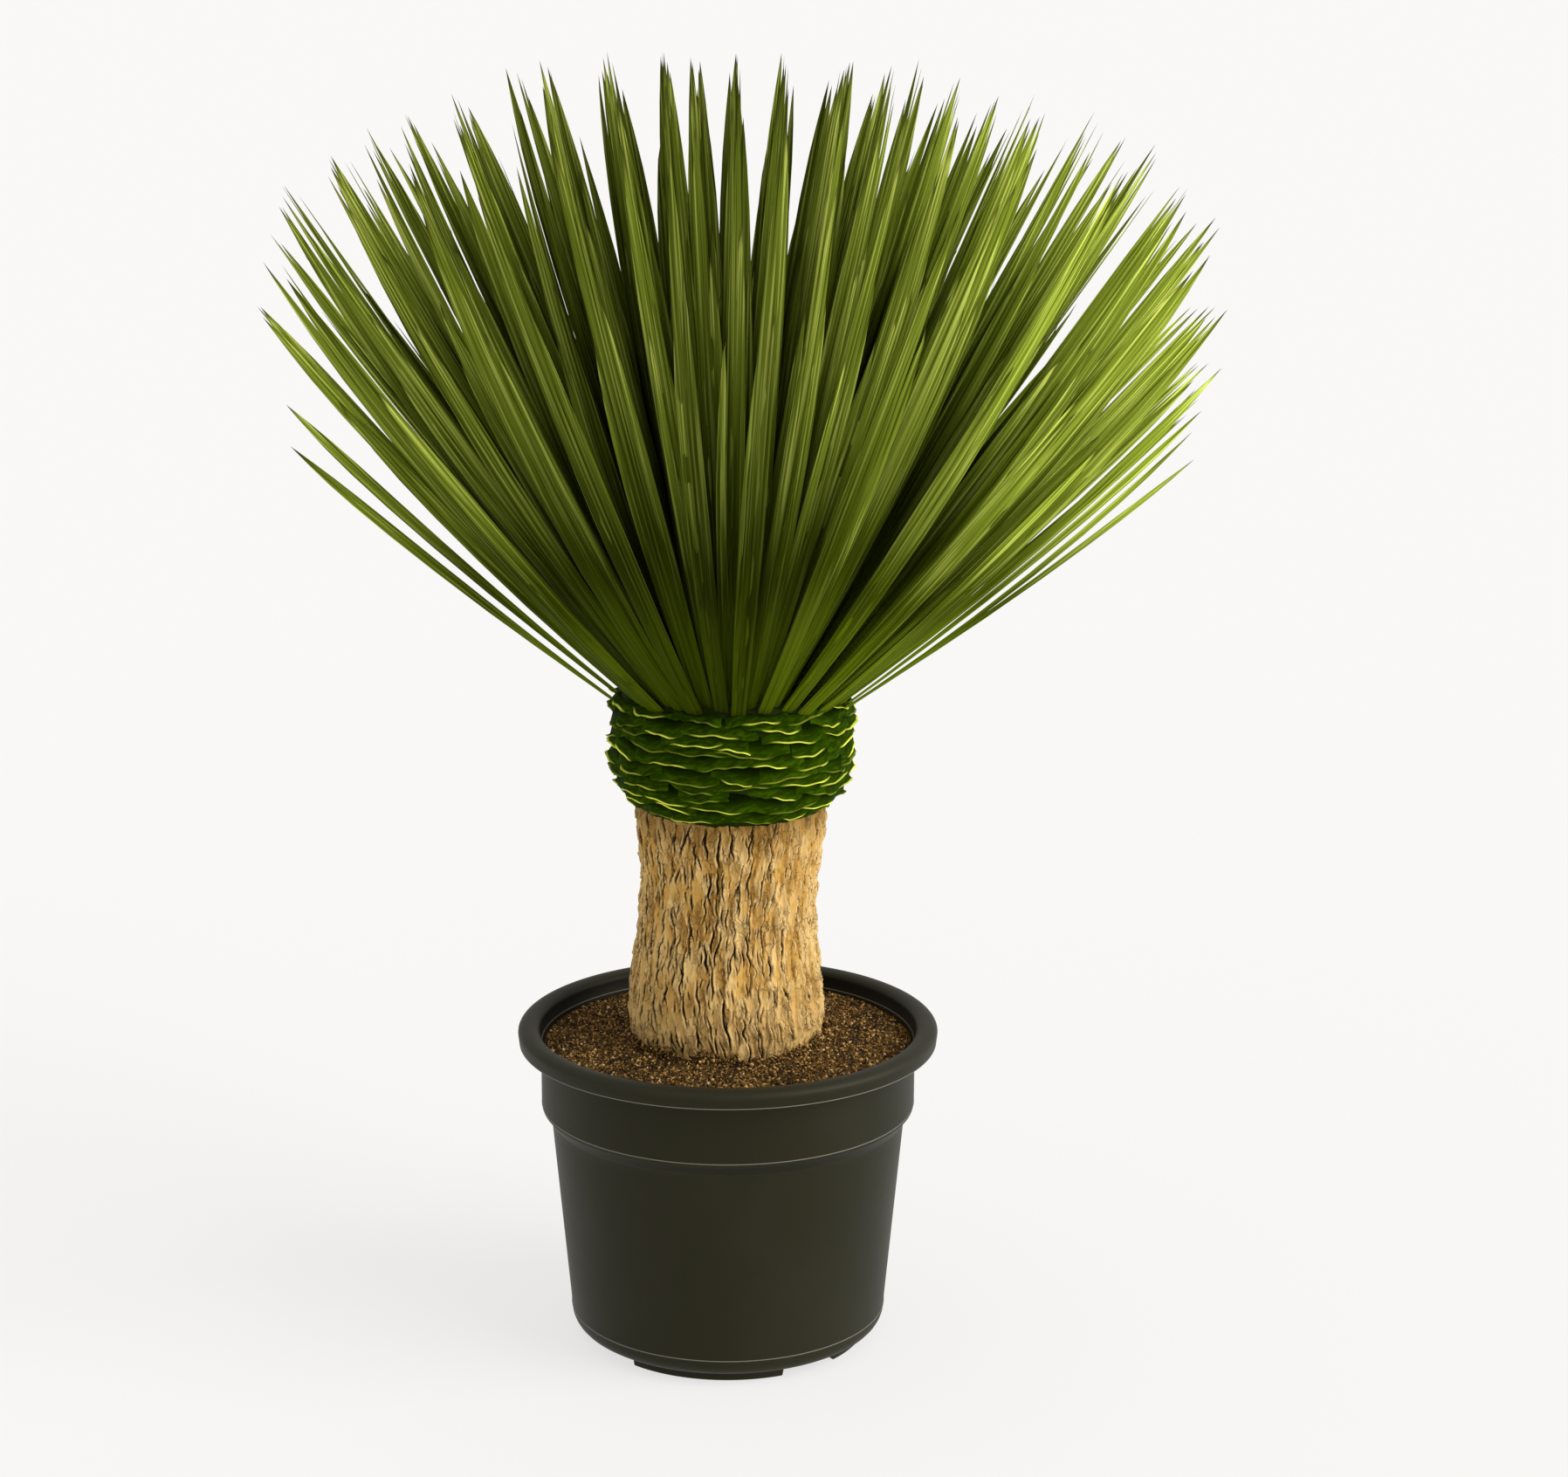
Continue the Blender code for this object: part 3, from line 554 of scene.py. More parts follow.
# The trunk: one woody stem in corky bark, which has split into upright plates with dark fissures
# between them as the stem grew. It stands in the soil and leans a little to the right.
HEAD_SHIFT = 0.005
TRUNK_TOP = 0.682
BARK_TOP = 0.694  # the bark goes on up behind the lowest leaf bases
TRUNK_FOOT = 0.270
TRUNK_COLUMNS = 720
TRUNK_ROWS = 132
TRUNK_OUTLINE = (
    (0.392, 0.405, 0.425, 0.445, 0.485, 0.510, 0.541, 0.565, 0.597, 0.631, 0.655, 0.694),
    (0.1150, 0.1180, 0.1195, 0.1180, 0.1150, 0.1112, 0.1072, 0.1062, 0.1065, 0.1100, 0.1140, 0.1155),
)
TRUNK_SWAY = ((0.392, 0.450, 0.560, 0.682), (0.0, -0.003, 0.0, HEAD_SHIFT))
MEAN_GIRTH = 0.113  # its radius, on the whole
TRUNK_SLANT = 0.10  # how far the fissures lean, as a slope
UPPER_SLANT = 0.02  # the same from this height up
UPPER_FROM = 0.50
SLANT_SCATTER = 0.11
# Each kind of fissure: how many round the trunk and up it, shortest and longest, widest
# half-width, depth.
FISSURES = (
    (37, 8, 0.022, 0.054, 0.00165, 0.0050),
    (47, 11, 0.012, 0.028, 0.00138, 0.0036),
    (60, 15, 0.005, 0.013, 0.00112, 0.0024),
)
FISSURE_LIP = 0.0024  # height of the plate's edge beside a fissure
FISSURE_LIP_WIDTH = 0.0040
FISSURE_WAVES = (0.0004, 0.0014)  # smallest and largest swing of a fissure's course
FISSURE_WAVE_LENGTHS = (0.018, 0.034)
LIP_DEPTH = 0.0026  # depth of a fissure whose lip is FISSURE_LIP high
DARK_DEPTH = 0.0040  # depth of a fissure that is quite dark
FLAKE_SIZE = (0.0105, 0.030)  # width and height of the flakes that the plates are made of
FLAKE_STEP = 0.0015  # how far their faces differ in height
BARK_SWELLS = (0.0019, 0.0012, 0.0005)  # height of its bulges, its knobs and its grit
FLAKE_TILT = 0.16  # slope of a flake's face, up towards the side that the fissures face
BARK_SEED = 8
BARK_TAN = (0.66, 0.378, 0.088)
BARK_PALE = (0.79, 0.538, 0.215)
BARK_OCHRE = (0.39, 0.205, 0.044)
BARK_SHADED = (0.20, 0.105, 0.022)  # painted shadow, where the collar overhangs it
BARK_CRACK = (0.020, 0.010, 0.003)
BARK_UNDER = (0.15, 0.078, 0.019)  # the shaded lower edges of small scales

rng = np.random.default_rng(BARK_SEED)
trunk_z = np.linspace(SOIL_TOP - 0.004, BARK_TOP, TRUNK_ROWS)
theta = np.arange(TRUNK_COLUMNS) * math.tau / TRUNK_COLUMNS
z, turn = np.meshgrid(trunk_z, theta, indexing="ij")
girth = np.interp(trunk_z, *TRUNK_OUTLINE)
points = round_axis(girth[:, None], turn, z).reshape(-1, 3)
bulge = lumps(points * (1, 1, 0.5), 38, 1).reshape(z.shape)
knobs = lumps(points * (1, 1, 0.55), 120, 2).reshape(z.shape)
grit = lumps(points * (1, 1, 0.6), 420, 3).reshape(z.shape)
drift = lumps(points * (1, 1, 0.5), 14, 4).reshape(z.shape)
flake_columns = round(math.tau * MEAN_GIRTH / FLAKE_SIZE[0])
flake_rows = round((BARK_TOP - trunk_z[0]) / FLAKE_SIZE[1])
flake_aside, flake_along, flake_rise = rng.uniform(-1, 1, (3, flake_columns, flake_rows + 2))
column_place = turn / math.tau * flake_columns + 0.25 * bulge + 0.22 * knobs
row_place = (z - trunk_z[0]) / (BARK_TOP - trunk_z[0]) * flake_rows + 0.3 * drift + 0.12 * grit
nearest = np.full(z.shape, np.inf)
flakes = np.zeros(z.shape)
for column_step in (-1, 0, 1):
    for row_step in (-1, 0, 1):
        column = np.floor(column_place).astype(int) + column_step
        row = np.floor(row_place).astype(int) + row_step
        own = (column % flake_columns, np.clip(row + 1, 0, flake_rows + 1))
        across = column_place - (column + 0.5 + 0.42 * flake_aside[own])
        upwards = row_place - (row + 0.5 + 0.5 * (column % 2) + 0.42 * flake_along[own])
        away = across**2 + upwards**2
        closer = away < nearest
        nearest = np.where(closer, away, nearest)
        face = FLAKE_STEP * flake_rise[own] - FLAKE_TILT * across * FLAKE_SIZE[0]
        flakes = np.where(closer, face, flakes)
groove = np.zeros(z.shape)
crack = np.zeros(z.shape)
lip = np.zeros(z.shape)
step_along = trunk_z[1] - trunk_z[0]
for round_count, up_count, shortest, longest, half_width, depth in FISSURES:
    for i in range(round_count * up_count):
        column, row = i // up_count, i % up_count
        centre = (column + rng.uniform(-0.42, 0.42)) * math.tau / round_count
        step = (BARK_TOP - trunk_z[0]) / up_count
        level = trunk_z[0] + (row + 0.5 * (column % 2) + rng.uniform(-0.4, 0.4)) * step
        reach = rng.uniform(shortest, longest) / 2
        slope = rng.normal(-TRUNK_SLANT if level < UPPER_FROM else -UPPER_SLANT, SLANT_SCATTER)
        wave, phase = rng.uniform(*FISSURE_WAVES), rng.uniform(0, math.tau)
        wave_length = rng.uniform(*FISSURE_WAVE_LENGTHS)
        width = half_width * rng.uniform(0.55, 1.0)
        low = max(0, int((level - reach - trunk_z[0]) / step_along) + 1)
        high = min(TRUNK_ROWS, int((level + reach - trunk_z[0]) / step_along) + 1)
        if high <= low:
            continue
        along = trunk_z[low:high] - level
        course = slope * along + wave * np.sin(along / wave_length * math.tau + phase)
        course += 0.0006 * np.sin(along / 0.0065 + 2 * phase)
        middle = centre + course / MEAN_GIRTH
        first = np.floor(middle / math.tau * TRUNK_COLUMNS).astype(int)
        columns = first[:, None] + np.arange(-6, 8)[None, :]
        off = (columns * math.tau / TRUNK_COLUMNS - middle[:, None]) * MEAN_GIRTH
        taper = np.clip(1 - (along / reach) ** 2, 0, 1)[:, None] ** 0.6
        shape = np.clip(1 - np.abs(off) / (width * (0.35 + 0.65 * taper) + 0.0003), 0, 1) * taper
        edge = np.exp(-((np.abs(off) - 1.5 * width) / FISSURE_LIP_WIDTH * 2) ** 2) * taper
        here = (np.arange(low, high)[:, None] + 0 * columns, columns % TRUNK_COLUMNS)
        groove[here] = np.maximum(groove[here], depth * shape**0.7)
        crack[here] = np.maximum(crack[here], shape**0.6 * (0.35 + 0.65 * depth / DARK_DEPTH))
        lip_height = edge * FISSURE_LIP * depth / LIP_DEPTH * np.where(off < 0, 1.0, 0.45)
        lip[here] = np.maximum(lip[here], lip_height)
relief = lip - groove + flakes + BARK_SWELLS[0] * bulge + BARK_SWELLS[1] * knobs + BARK_SWELLS[2] * grit
rise = np.clip((z - SOIL_TOP) / 0.010, 0, 1)
under_collar = np.clip((BARK_TOP - z) / 0.004, 0, 1)
girth = girth[:, None] + relief * (0.7 + 0.3 * rise) * under_collar - 0.0004
bark = round_axis(girth, turn, z)
bark[:, :, 0] += np.interp(z, *TRUNK_SWAY)
bark = bark.reshape(-1, 3)
foot_levels = (TRUNK_FOOT, TRUNK_FOOT + 0.0004, SOIL_TOP - 0.006)
foot_radii = (TRUNK_BURIED_RADIUS - 0.001, TRUNK_BURIED_RADIUS, TRUNK_BURIED_RADIUS)
foot = np.concatenate([round_axis(r, theta, level) for r, level in zip(foot_radii, foot_levels)])
head = bark[-TRUNK_COLUMNS:] * (0.8, 0.8, 1.0) + (0.2 * HEAD_SHIFT, 0.0, 0.0)
trunk_points = np.concatenate([foot, bark, head])
ring = np.arange(TRUNK_COLUMNS)
trunk_rings = len(trunk_points) // TRUNK_COLUMNS
trunk_mesh = bare_mesh("trunk_bark", trunk_points,
                       [grid_faces(trunk_rings, TRUNK_COLUMNS, True),
                        np.stack([ring[::-1], ring + (trunk_rings - 1) * TRUNK_COLUMNS])])
trunk_mesh.shade_smooth()
before, after = np.zeros(len(foot)), np.zeros(TRUNK_COLUMNS)
marked(trunk_mesh, "crack", np.concatenate([before, crack.ravel(), after]))
marked(trunk_mesh, "plate", np.concatenate([before, (relief / 0.004 + 0.25 * drift).ravel(), after]))

cork, tree, shader = finish_of("corky bark", BARK_TAN, 0.85, 0.12)
place = node(tree, "TexCoord").outputs["Object"]
stretched = node(tree, "Mapping", Vector=place, Scale=(1.0, 1.0, 0.32)).outputs["Vector"]
fibre = cloud(tree, stretched, 480.0, 4.0, 0.65)
mottle = cloud(tree, stretched, 70.0, 4.0)
stain = cloud(tree, place, 12.0, 3.0)
colour = over(tree, BARK_OCHRE, BARK_TAN, mottle, 0.34, 0.62)
colour = over(tree, colour, BARK_OCHRE, stain, 0.50, 0.72, 0.32)
# Painted highlight: the bark is paler where it stands higher, with some random drift.
colour = over(tree, colour, BARK_PALE, mark(tree, "plate")["Fac"], -0.10, 0.70)
colour = over(tree, colour, BARK_OCHRE, fibre, 0.48, 0.28, 0.30)
# Painted light and shadow by height: paler towards the foot, and darker just under the collar, in its shadow.
bark_height = node(tree, "SeparateXYZ", Vector=place).outputs["Z"]
colour = over(tree, colour, BARK_PALE, bark_height, 0.50, 0.41, 0.58)
colour = over(tree, colour, BARK_SHADED, bark_height, 0.64, 0.69, 0.60)
scale_place = node(tree, "Mapping", Vector=place, Scale=(1.0, 1.0, 0.42)).outputs["Vector"]
wander = node(tree, "TexNoise", Vector=place, Scale=60.0, Detail=3.0).outputs["Color"]
pushed = node(tree, "VectorMath", Vector=wander)
pushed.operation = "MULTIPLY_ADD"
pushed.inputs[1].default_value = (0.016, 0.016, 0.016)
tree.links.new(scale_place, pushed.inputs[2])
scales = node(tree, "TexVoronoi", Vector=pushed.outputs["Vector"], Scale=125.0)
scales.feature = "DISTANCE_TO_EDGE"
scale_edge = step_up(tree, scales.outputs["Distance"], 0.10, 0.0)
scale_edge = sums(tree, "MULTIPLY", scale_edge, step_up(tree, mottle, 0.62, 0.44))
colour = between(tree, sums(tree, "MULTIPLY", scale_edge, 0.45), colour, BARK_UNDER)
colour = over(tree, colour, BARK_CRACK, mark(tree, "crack")["Fac"], 0.12, 0.85)
tree.links.new(colour, shader.inputs["Base Color"])
scaly = sums(tree, "MULTIPLY_ADD", scale_edge, -0.9, fibre)
raised(tree, shader, scaly, 0.0010)
trunk = placed("trunk_bark", trunk_mesh, cork)
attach(trunk, "root")
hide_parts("trunk")

# The collar: the bases of the old leaves, cut off close to the stem. Each is a broad green shell
# that wraps over the ones below it, with a thin ragged lip that curls out, dried to yellow with a painted
# highlight.
COLLAR_TOP = 0.829
COLLAR_OUTLINE = (
    (0.682, 0.690, 0.700, 0.714, 0.730, 0.750, 0.790, 0.822, 0.832, 0.840),
    (0.1215, 0.1275, 0.1370, 0.1475, 0.1545, 0.1580, 0.1580, 0.1565, 0.1500, 0.1380),
)
SHELL_ROWS = 10
SHELLS_IN_ROW = 13
SHELL_ACROSS = 36
SHELL_DOWN = 9
SHELL_LENGTH = 0.036
SHELL_THICKNESS = 0.0008
SHELL_HIGHEST = 0.833
SHELL_LEVELS = (0.014, 0.010)  # lowest row over the trunk's top, highest row under the highest point
SHELL_UNEVEN = 0.0055  # how far a lip is off its row's level
SHELL_INSET = 0.0150  # depth of its root under the collar's outline
SHELL_END_INSET = 0.0045  # and how much deeper its ends lie
SHELL_RIPPLE = 0.0007
SHELL_SMILE = 0.0060  # how far the ends of its lip turn up
SHELL_STEP = 0.0070  # how far its lip stands out over its root
SHELL_CURL = 0.0078  # and how much further the lip's loose middle curls out
SHELL_LOOSE = 0.62  # half the loose part, as a share of half the shell
SHELL_LIFT = 0.0035
COLLAR_SEED = 21
SHELL_DEEP = (0.0030, 0.0075, 0.0002)
SHELL_GREEN = (0.0155, 0.037, 0.0003)
SHELL_LIGHT = (0.060, 0.122, 0.0018)
SHELL_DRIED_HIGHLIGHT = (0.92, 0.98, 0.11)

rng = np.random.default_rng(COLLAR_SEED)
across = np.linspace(-1, 1, SHELL_ACROSS)
down = 1 - (1 - np.linspace(0, 1, SHELL_DOWN)) ** 1.8
spacing = math.tau / SHELLS_IN_ROW
sheets, edge_marks, shell_marks = [], [], []
low_row, high_row = TRUNK_TOP + SHELL_LEVELS[0], SHELL_HIGHEST - SHELL_LEVELS[1]
for row in range(SHELL_ROWS):
    level = low_row + (high_row - low_row) * row / (SHELL_ROWS - 1)
    for i in range(SHELLS_IN_ROW):
        middle = (i + 0.5 * (row % 2) + 0.19 * row + rng.uniform(-0.2, 0.2)) * spacing
        width = spacing * rng.uniform(1.0, 1.7)
        steady = 0.3 if row in (0, SHELL_ROWS - 1) else 1.0
        tip_height = level + rng.uniform(-SHELL_UNEVEN, SHELL_UNEVEN) * steady
        smile = SHELL_SMILE * rng.uniform(0.2, 1.2)
        skew = rng.uniform(-0.009, 0.006)
        phase = rng.uniform(0, math.tau, 3)
        loose = rng.uniform(0.7, 1.15) * SHELL_LOOSE
        offset = rng.uniform(-0.25, 0.25)
        free = np.clip(np.cos((across - offset) / loose * math.pi / 2), 0, 1)
        free = free * (np.abs(across - offset) < loose)
        wave = 0.0018 * np.sin(4.1 * across + phase[0]) + SHELL_RIPPLE * np.sin(11.0 * across + phase[1])
        lip_z = tip_height + smile * across**2 + skew * across + wave
        z = lip_z[None, :] + SHELL_LENGTH * (1 - down[:, None])
        z = np.minimum(z, SHELL_HIGHEST + 0.002 * np.sin(5 * across + phase[2]))
        outline = np.interp(z, *COLLAR_OUTLINE)
        sunk = SHELL_END_INSET * np.abs(across) ** 3
        thin_out = rng.uniform(0.25, 1.15) * (0.8 + 0.2 * np.sin(14.0 * across + phase[1]))
        turned_out = np.clip((down[:, None] - 0.88) / 0.12, 0, 1) * free * thin_out
        out = SHELL_STEP * down[:, None] - SHELL_INSET - sunk + SHELL_CURL * turned_out
        out = out + SHELL_RIPPLE * np.sin(6.0 * across + phase[2]) * down[:, None]
        r = np.minimum(outline + out, outline - 0.0002)
        z = z + SHELL_LIFT * turned_out
        angle = middle + across[None, :] * width / 2
        glow = np.clip(1.5 * free, 0, 1) * rng.choice((0.2, 0.7, 1.0))
        own = rng.uniform(0, 1)
        for inset in (0.0, SHELL_THICKNESS):
            radial = r - inset * (1.0 + 2.0 * (1 - down[:, None]))
            sheets.append((round_axis(radial, angle, z) + (HEAD_SHIFT, 0.0, 0.0)).reshape(-1, 3))
            edge_marks.append(np.repeat(down, SHELL_ACROSS))
            shell_marks.append(np.stack([np.tile(across * width / spacing, SHELL_DOWN),
                                         np.tile(glow, SHELL_DOWN),
                                         np.full(SHELL_DOWN * SHELL_ACROSS, own)], axis=1))
grid = grid_faces(SHELL_DOWN, SHELL_ACROSS, False)
sheet = SHELL_DOWN * SHELL_ACROSS
top, bottom = np.arange(SHELL_ACROSS), np.arange(SHELL_ACROSS) + (SHELL_DOWN - 1) * SHELL_ACROSS
left, right = np.arange(SHELL_DOWN) * SHELL_ACROSS, np.arange(SHELL_DOWN) * SHELL_ACROSS + SHELL_ACROSS - 1
rims = [np.stack([line[1:], line[:-1], line[:-1] + sheet, line[1:] + sheet], axis=1)
        for line in (top[::-1], bottom, left, right[::-1])]
one_shell = np.concatenate([grid[:, ::-1], grid + sheet, *rims])
count = len(sheets) // 2
shell_faces = (np.arange(count)[:, None, None] * 2 * sheet + one_shell).reshape(-1, 4)
collar_mesh = bare_mesh("leaf_bases", np.concatenate(sheets), [shell_faces])
marked(collar_mesh, "edge", np.concatenate(edge_marks))
marked(collar_mesh, "shell", np.concatenate(shell_marks))
collar_mesh.shade_smooth()
collar_mesh.set_sharp_from_angle(angle=math.radians(60))

wax, tree, shader = finish_of("cut leaf bases", SHELL_GREEN, 0.6, 0.005)
shader.inputs["Specular Tint"].default_value = (0.85, 1.0, 0.35, 1.0)
parts = node(tree, "SeparateXYZ", Vector=mark(tree, "shell")["Vector"]).outputs
down_share = mark(tree, "edge")["Fac"]
fibre_fall = sums(tree, "MULTIPLY_ADD", parts["X"], 2.0, sums(tree, "MULTIPLY", down_share, 9.0))
fibre_place = node(tree, "CombineXYZ", X=sums(tree, "MULTIPLY", parts["X"], 3.0), Y=fibre_fall,
                   Z=sums(tree, "MULTIPLY", parts["Z"], 90.0))
fibres = cloud(tree, fibre_place.outputs["Vector"], 1.0, 3.0)
# Painted shade: each shell is darker up at its root, under the lip of the shell above, and lighter towards
# its own lip.
colour = over(tree, SHELL_DEEP, SHELL_GREEN, down_share, 0.35, 0.95)
lighter = sums(tree, "MULTIPLY", step_up(tree, down_share, 0.50, 0.97), step_up(tree, fibres, 0.38, 0.74))
colour = between(tree, sums(tree, "MULTIPLY", lighter, 0.65), colour, SHELL_LIGHT)
# The lip: its own dried yellow, painted brighter still as a highlight.
dried_lit_lip = step_up(tree, down_share, 0.925, 0.975)
edge_share = sums(tree, "MULTIPLY", dried_lit_lip, parts["Y"])
colour = between(tree, edge_share, colour, SHELL_DRIED_HIGHLIGHT)
tree.links.new(colour, shader.inputs["Base Color"])
roughness = sums(tree, "MULTIPLY_ADD", fibres, 0.3, 0.45)
tree.links.new(roughness, shader.inputs["Roughness"])
raised(tree, shader, fibres, 0.0010)
collar = placed("leaf_bases", collar_mesh, wax)
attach(collar, "root")

# Behind the shells stands the stem's head with the stumps of older leaf bases, a barrel painted
# near black as painted shade, that closes the gaps between them.
BARREL_LIFT = 0.0004  # its foot's height over the trunk's top
BARREL_HEAD_RADIUS = 0.110
BARREL_INSET = 0.0135  # depth of its side under the shells' outline
barrel_levels = np.linspace(TRUNK_TOP + BARREL_LIFT, COLLAR_TOP - 0.003, 24)
barrel_profile = [(0.0, COLLAR_TOP), (BARREL_HEAD_RADIUS, COLLAR_TOP)]
barrel_profile += [(float(np.interp(level, *COLLAR_OUTLINE)) - BARREL_INSET, float(level))
                   for level in barrel_levels[::-1]]
barrel_profile += [(0.0, TRUNK_TOP + BARREL_LIFT)]
pith, tree, shader = finish_of("old leaf bases", SHELL_DEEP, 0.8, 0.1)
place = node(tree, "TexCoord").outputs["Object"]
# Painted shade: the barrel is near black, mottled with green, for the shade in the gaps behind the shells.
gap_shade = cloud(tree, place, 90.0, 3.0)
colour = between(tree, gap_shade, (0.002, 0.005, 0.0003), SHELL_GREEN)
tree.links.new(colour, shader.inputs["Base Color"])
barrel = turned("leaf_base_barrel", barrel_profile, 96, pith)
applied(barrel)
barrel.location.x = HEAD_SHIFT
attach(barrel, "root")
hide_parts("leaf_base_collar")

# The crown: long, narrow, stiff leaves, pleated along their length and drawn out to a sharp point.
# They grow in a spiral from the stem's head and hang together in locks that part at the tips.
CROWN_SEED = 4
CROWN_CENTRE = 0.716
LEAF_REACH = 0.915  # from there to the tip of the longest leaf that stands up
TALLEST = 1.599  # the height to which the longest leaves are held
CORE_LIFT = 0.0003  # height of the leaf heart's foot over the collar's top
CROWN_LEAN = math.radians(0.6)  # to the right, as the trunk's head
CROWN_CORE_RADIUS = 0.180
STRAND_COUNT = 326  # each strand is one broad leaf with two narrower ones against it
LEAF_ROOT = 0.176
LEAF_ROOT_LEAN = math.radians(47)
LEAF_FOOT_SPREAD = (1.19, 1.05)  # lean of a leaf's foot against its root's, aside and in depth
LEAF_SIDE_SPREAD = 1.135
LEAF_DEPTH_SPREAD = 0.585
LEAF_TWIST = math.radians(70)
LEAF_BEND = 1.35
LEAF_SHORTEST = 0.98
LOW_LEAF_LEAN = (math.radians(36.5), math.radians(38))  # on the left and on the right
LOW_LEAF_RANGE = math.radians(14)
LOW_LEAF_LOSS = (0.25, 0.225)  # on the left and on the right
LOCK_SPACING = math.radians(3.1)
LOCK_DEPTH_SPACING = math.radians(5.2)
LOCK_COLUMNS = 41
LOCK_ROWS = 15
LOCK_UNEVEN = 0.55
LOCK_SIDE_NUDGE = 0.0055
LOCK_DEPTH_NUDGE = 0.40
LOCK_PULL = (0.74, 0.60)  # aside and in depth
LOCK_TILT = math.radians(8)
LEAF_STATIONS = np.array([0.0, 0.10, 0.24, 0.38, 0.54, 0.68, 0.79, 0.87, 0.93, 0.972])
LEAF_WIDTHS = np.array([0.84, 0.84, 0.92, 1.0, 1.0, 0.98, 0.90, 0.71, 0.44, 0.19])
# The leaves of a strand: width, place across it, length as a share, roll from its flat side, and
# pleats, which are an even number.
LEAF_KINDS = (
    (0.0200, 0.0, 1.00, 0.35, 6),
    (0.0165, -0.85, 0.86, 0.8, 4),
    (0.0150, 0.85, 0.77, 1.0, 4),
)
STRAND_HALF = 0.0090  # how far out a leaf at place 1 lies, halfway up
STRAND_PARTING = 0.0095  # the same at the tips
LOCK_SHORTENING = 0.080  # how much shorter the outermost leaves of a lock can be
PLEAT_DEPTH = 0.030  # as a share of the leaf's width
LEAF_ARCH = 0.11
LEAF_THICKNESS = 0.0010
LONE_LEAN = (math.radians(43), math.radians(45.5))  # beyond it, left and right, leaves are single
LONE_GAPS = (1.0, 0.22)  # and this share of them is missing, left and right
APART_LEANS = (math.radians(-51.8), math.radians(-48.8))  # two more, on the left, stand apart
APART_ROLL = math.radians(112)  # towards the front
LONE_WIDTH = 0.80  # against a strand's broad leaf
SIDE_ROLL = math.radians(55)  # the leaves at the sides show their flat faces to the front
SHOULDER_LEAN = math.radians(31)  # the leaves that lean this far are the longest
SHOULDER_RANGE = math.radians(11)
SHOULDER_GAIN = (0.002, 0.022)  # on the left and on the right
LEAF_BOW = (0.004, 0.003)  # how far a leaf bows out of its strand, aside and in depth
SIDE_LEAF_LOSS = 0.035  # how much shorter than its kind a narrower leaf is, on the whole
LEAF_SEED = 33
# How light a strand's green is, painted light and shade: in the crown's middle, what both its sides
# add, and what the right side, painted lighter where the light falls, and the shaded left side add to that.
MIDDLE_TONE = 0.57
SIDE_TONE = 0.42
SUNNY_TONE = 0.80
SHADY_TONE = 0.44


def towards(side, depth, tilt=0.0):
    """Unit vector from two leans: to the right, and to the front, in a frame that may tilt back."""
    flat = Vector((math.sin(side) * math.cos(depth), -math.sin(depth), math.cos(side) * math.cos(depth)))
    flat.rotate(Euler((-tilt, 0.0, 0.0)))
    return flat


def leans(direction, tilt=0.0):
    """The two leans of a unit vector: the inverse of towards."""
    flat = direction.copy()
    flat.rotate(Euler((tilt, 0.0, 0.0)))
    return math.atan2(flat.x, flat.z), -math.asin(flat.y)


def lock_centres(rng):
    """The two leans of each lock's tip."""
    centres = []
    widths = LOCK_SPACING * rng.uniform(1 - LOCK_UNEVEN, 1 + LOCK_UNEVEN, LOCK_COLUMNS)
    columns = np.cumsum(widths) - widths.sum() / 2
    for row in range(-(LOCK_ROWS // 2), LOCK_ROWS // 2 + 1):
        for side in columns:
            aside, along = rng.uniform(-1, 1, 2)
            depth = (row + LOCK_DEPTH_NUDGE * along) * LOCK_DEPTH_SPACING
            centres.append((side + LOCK_SIDE_NUDGE * aside, depth))
    return np.array(centres)


def gathered(direction, centres):
    """The direction of a strand's tip, pulled towards its lock, and how far out it grows in it."""
    own = np.array(leans(direction, LOCK_TILT))
    away = (centres - own) / (LOCK_SPACING, LOCK_DEPTH_SPACING)
    nearest = centres[np.argmin((away**2).sum(axis=1))]
    side, depth = own + np.array(LOCK_PULL) * (nearest - own)
    return towards(side, depth, LOCK_TILT), min(1.0, abs(own[0] - nearest[0]) / LOCK_SPACING * 2)


def leaf_reach(tip):
    side, _ = leans(tip)
    low = min(1.0, max(0.0, (abs(side) - LOW_LEAF_LEAN[side > 0]) / LOW_LEAF_RANGE))
    return LEAF_REACH * (1 - LOW_LEAF_LOSS[side > 0] * low**1.2)


def unit(vectors):
    return vectors / np.linalg.norm(vectors, axis=-1, keepdims=True)


def strand_path(root, tip, reach, share):
    """Points of a strand's middle line, from the crown's centre, by their share of its length."""
    bent = unit(root + (tip - root) * share[:, None] ** LEAF_BEND)
    return bent * (LEAF_ROOT + (reach - LEAF_ROOT) * share)[:, None]


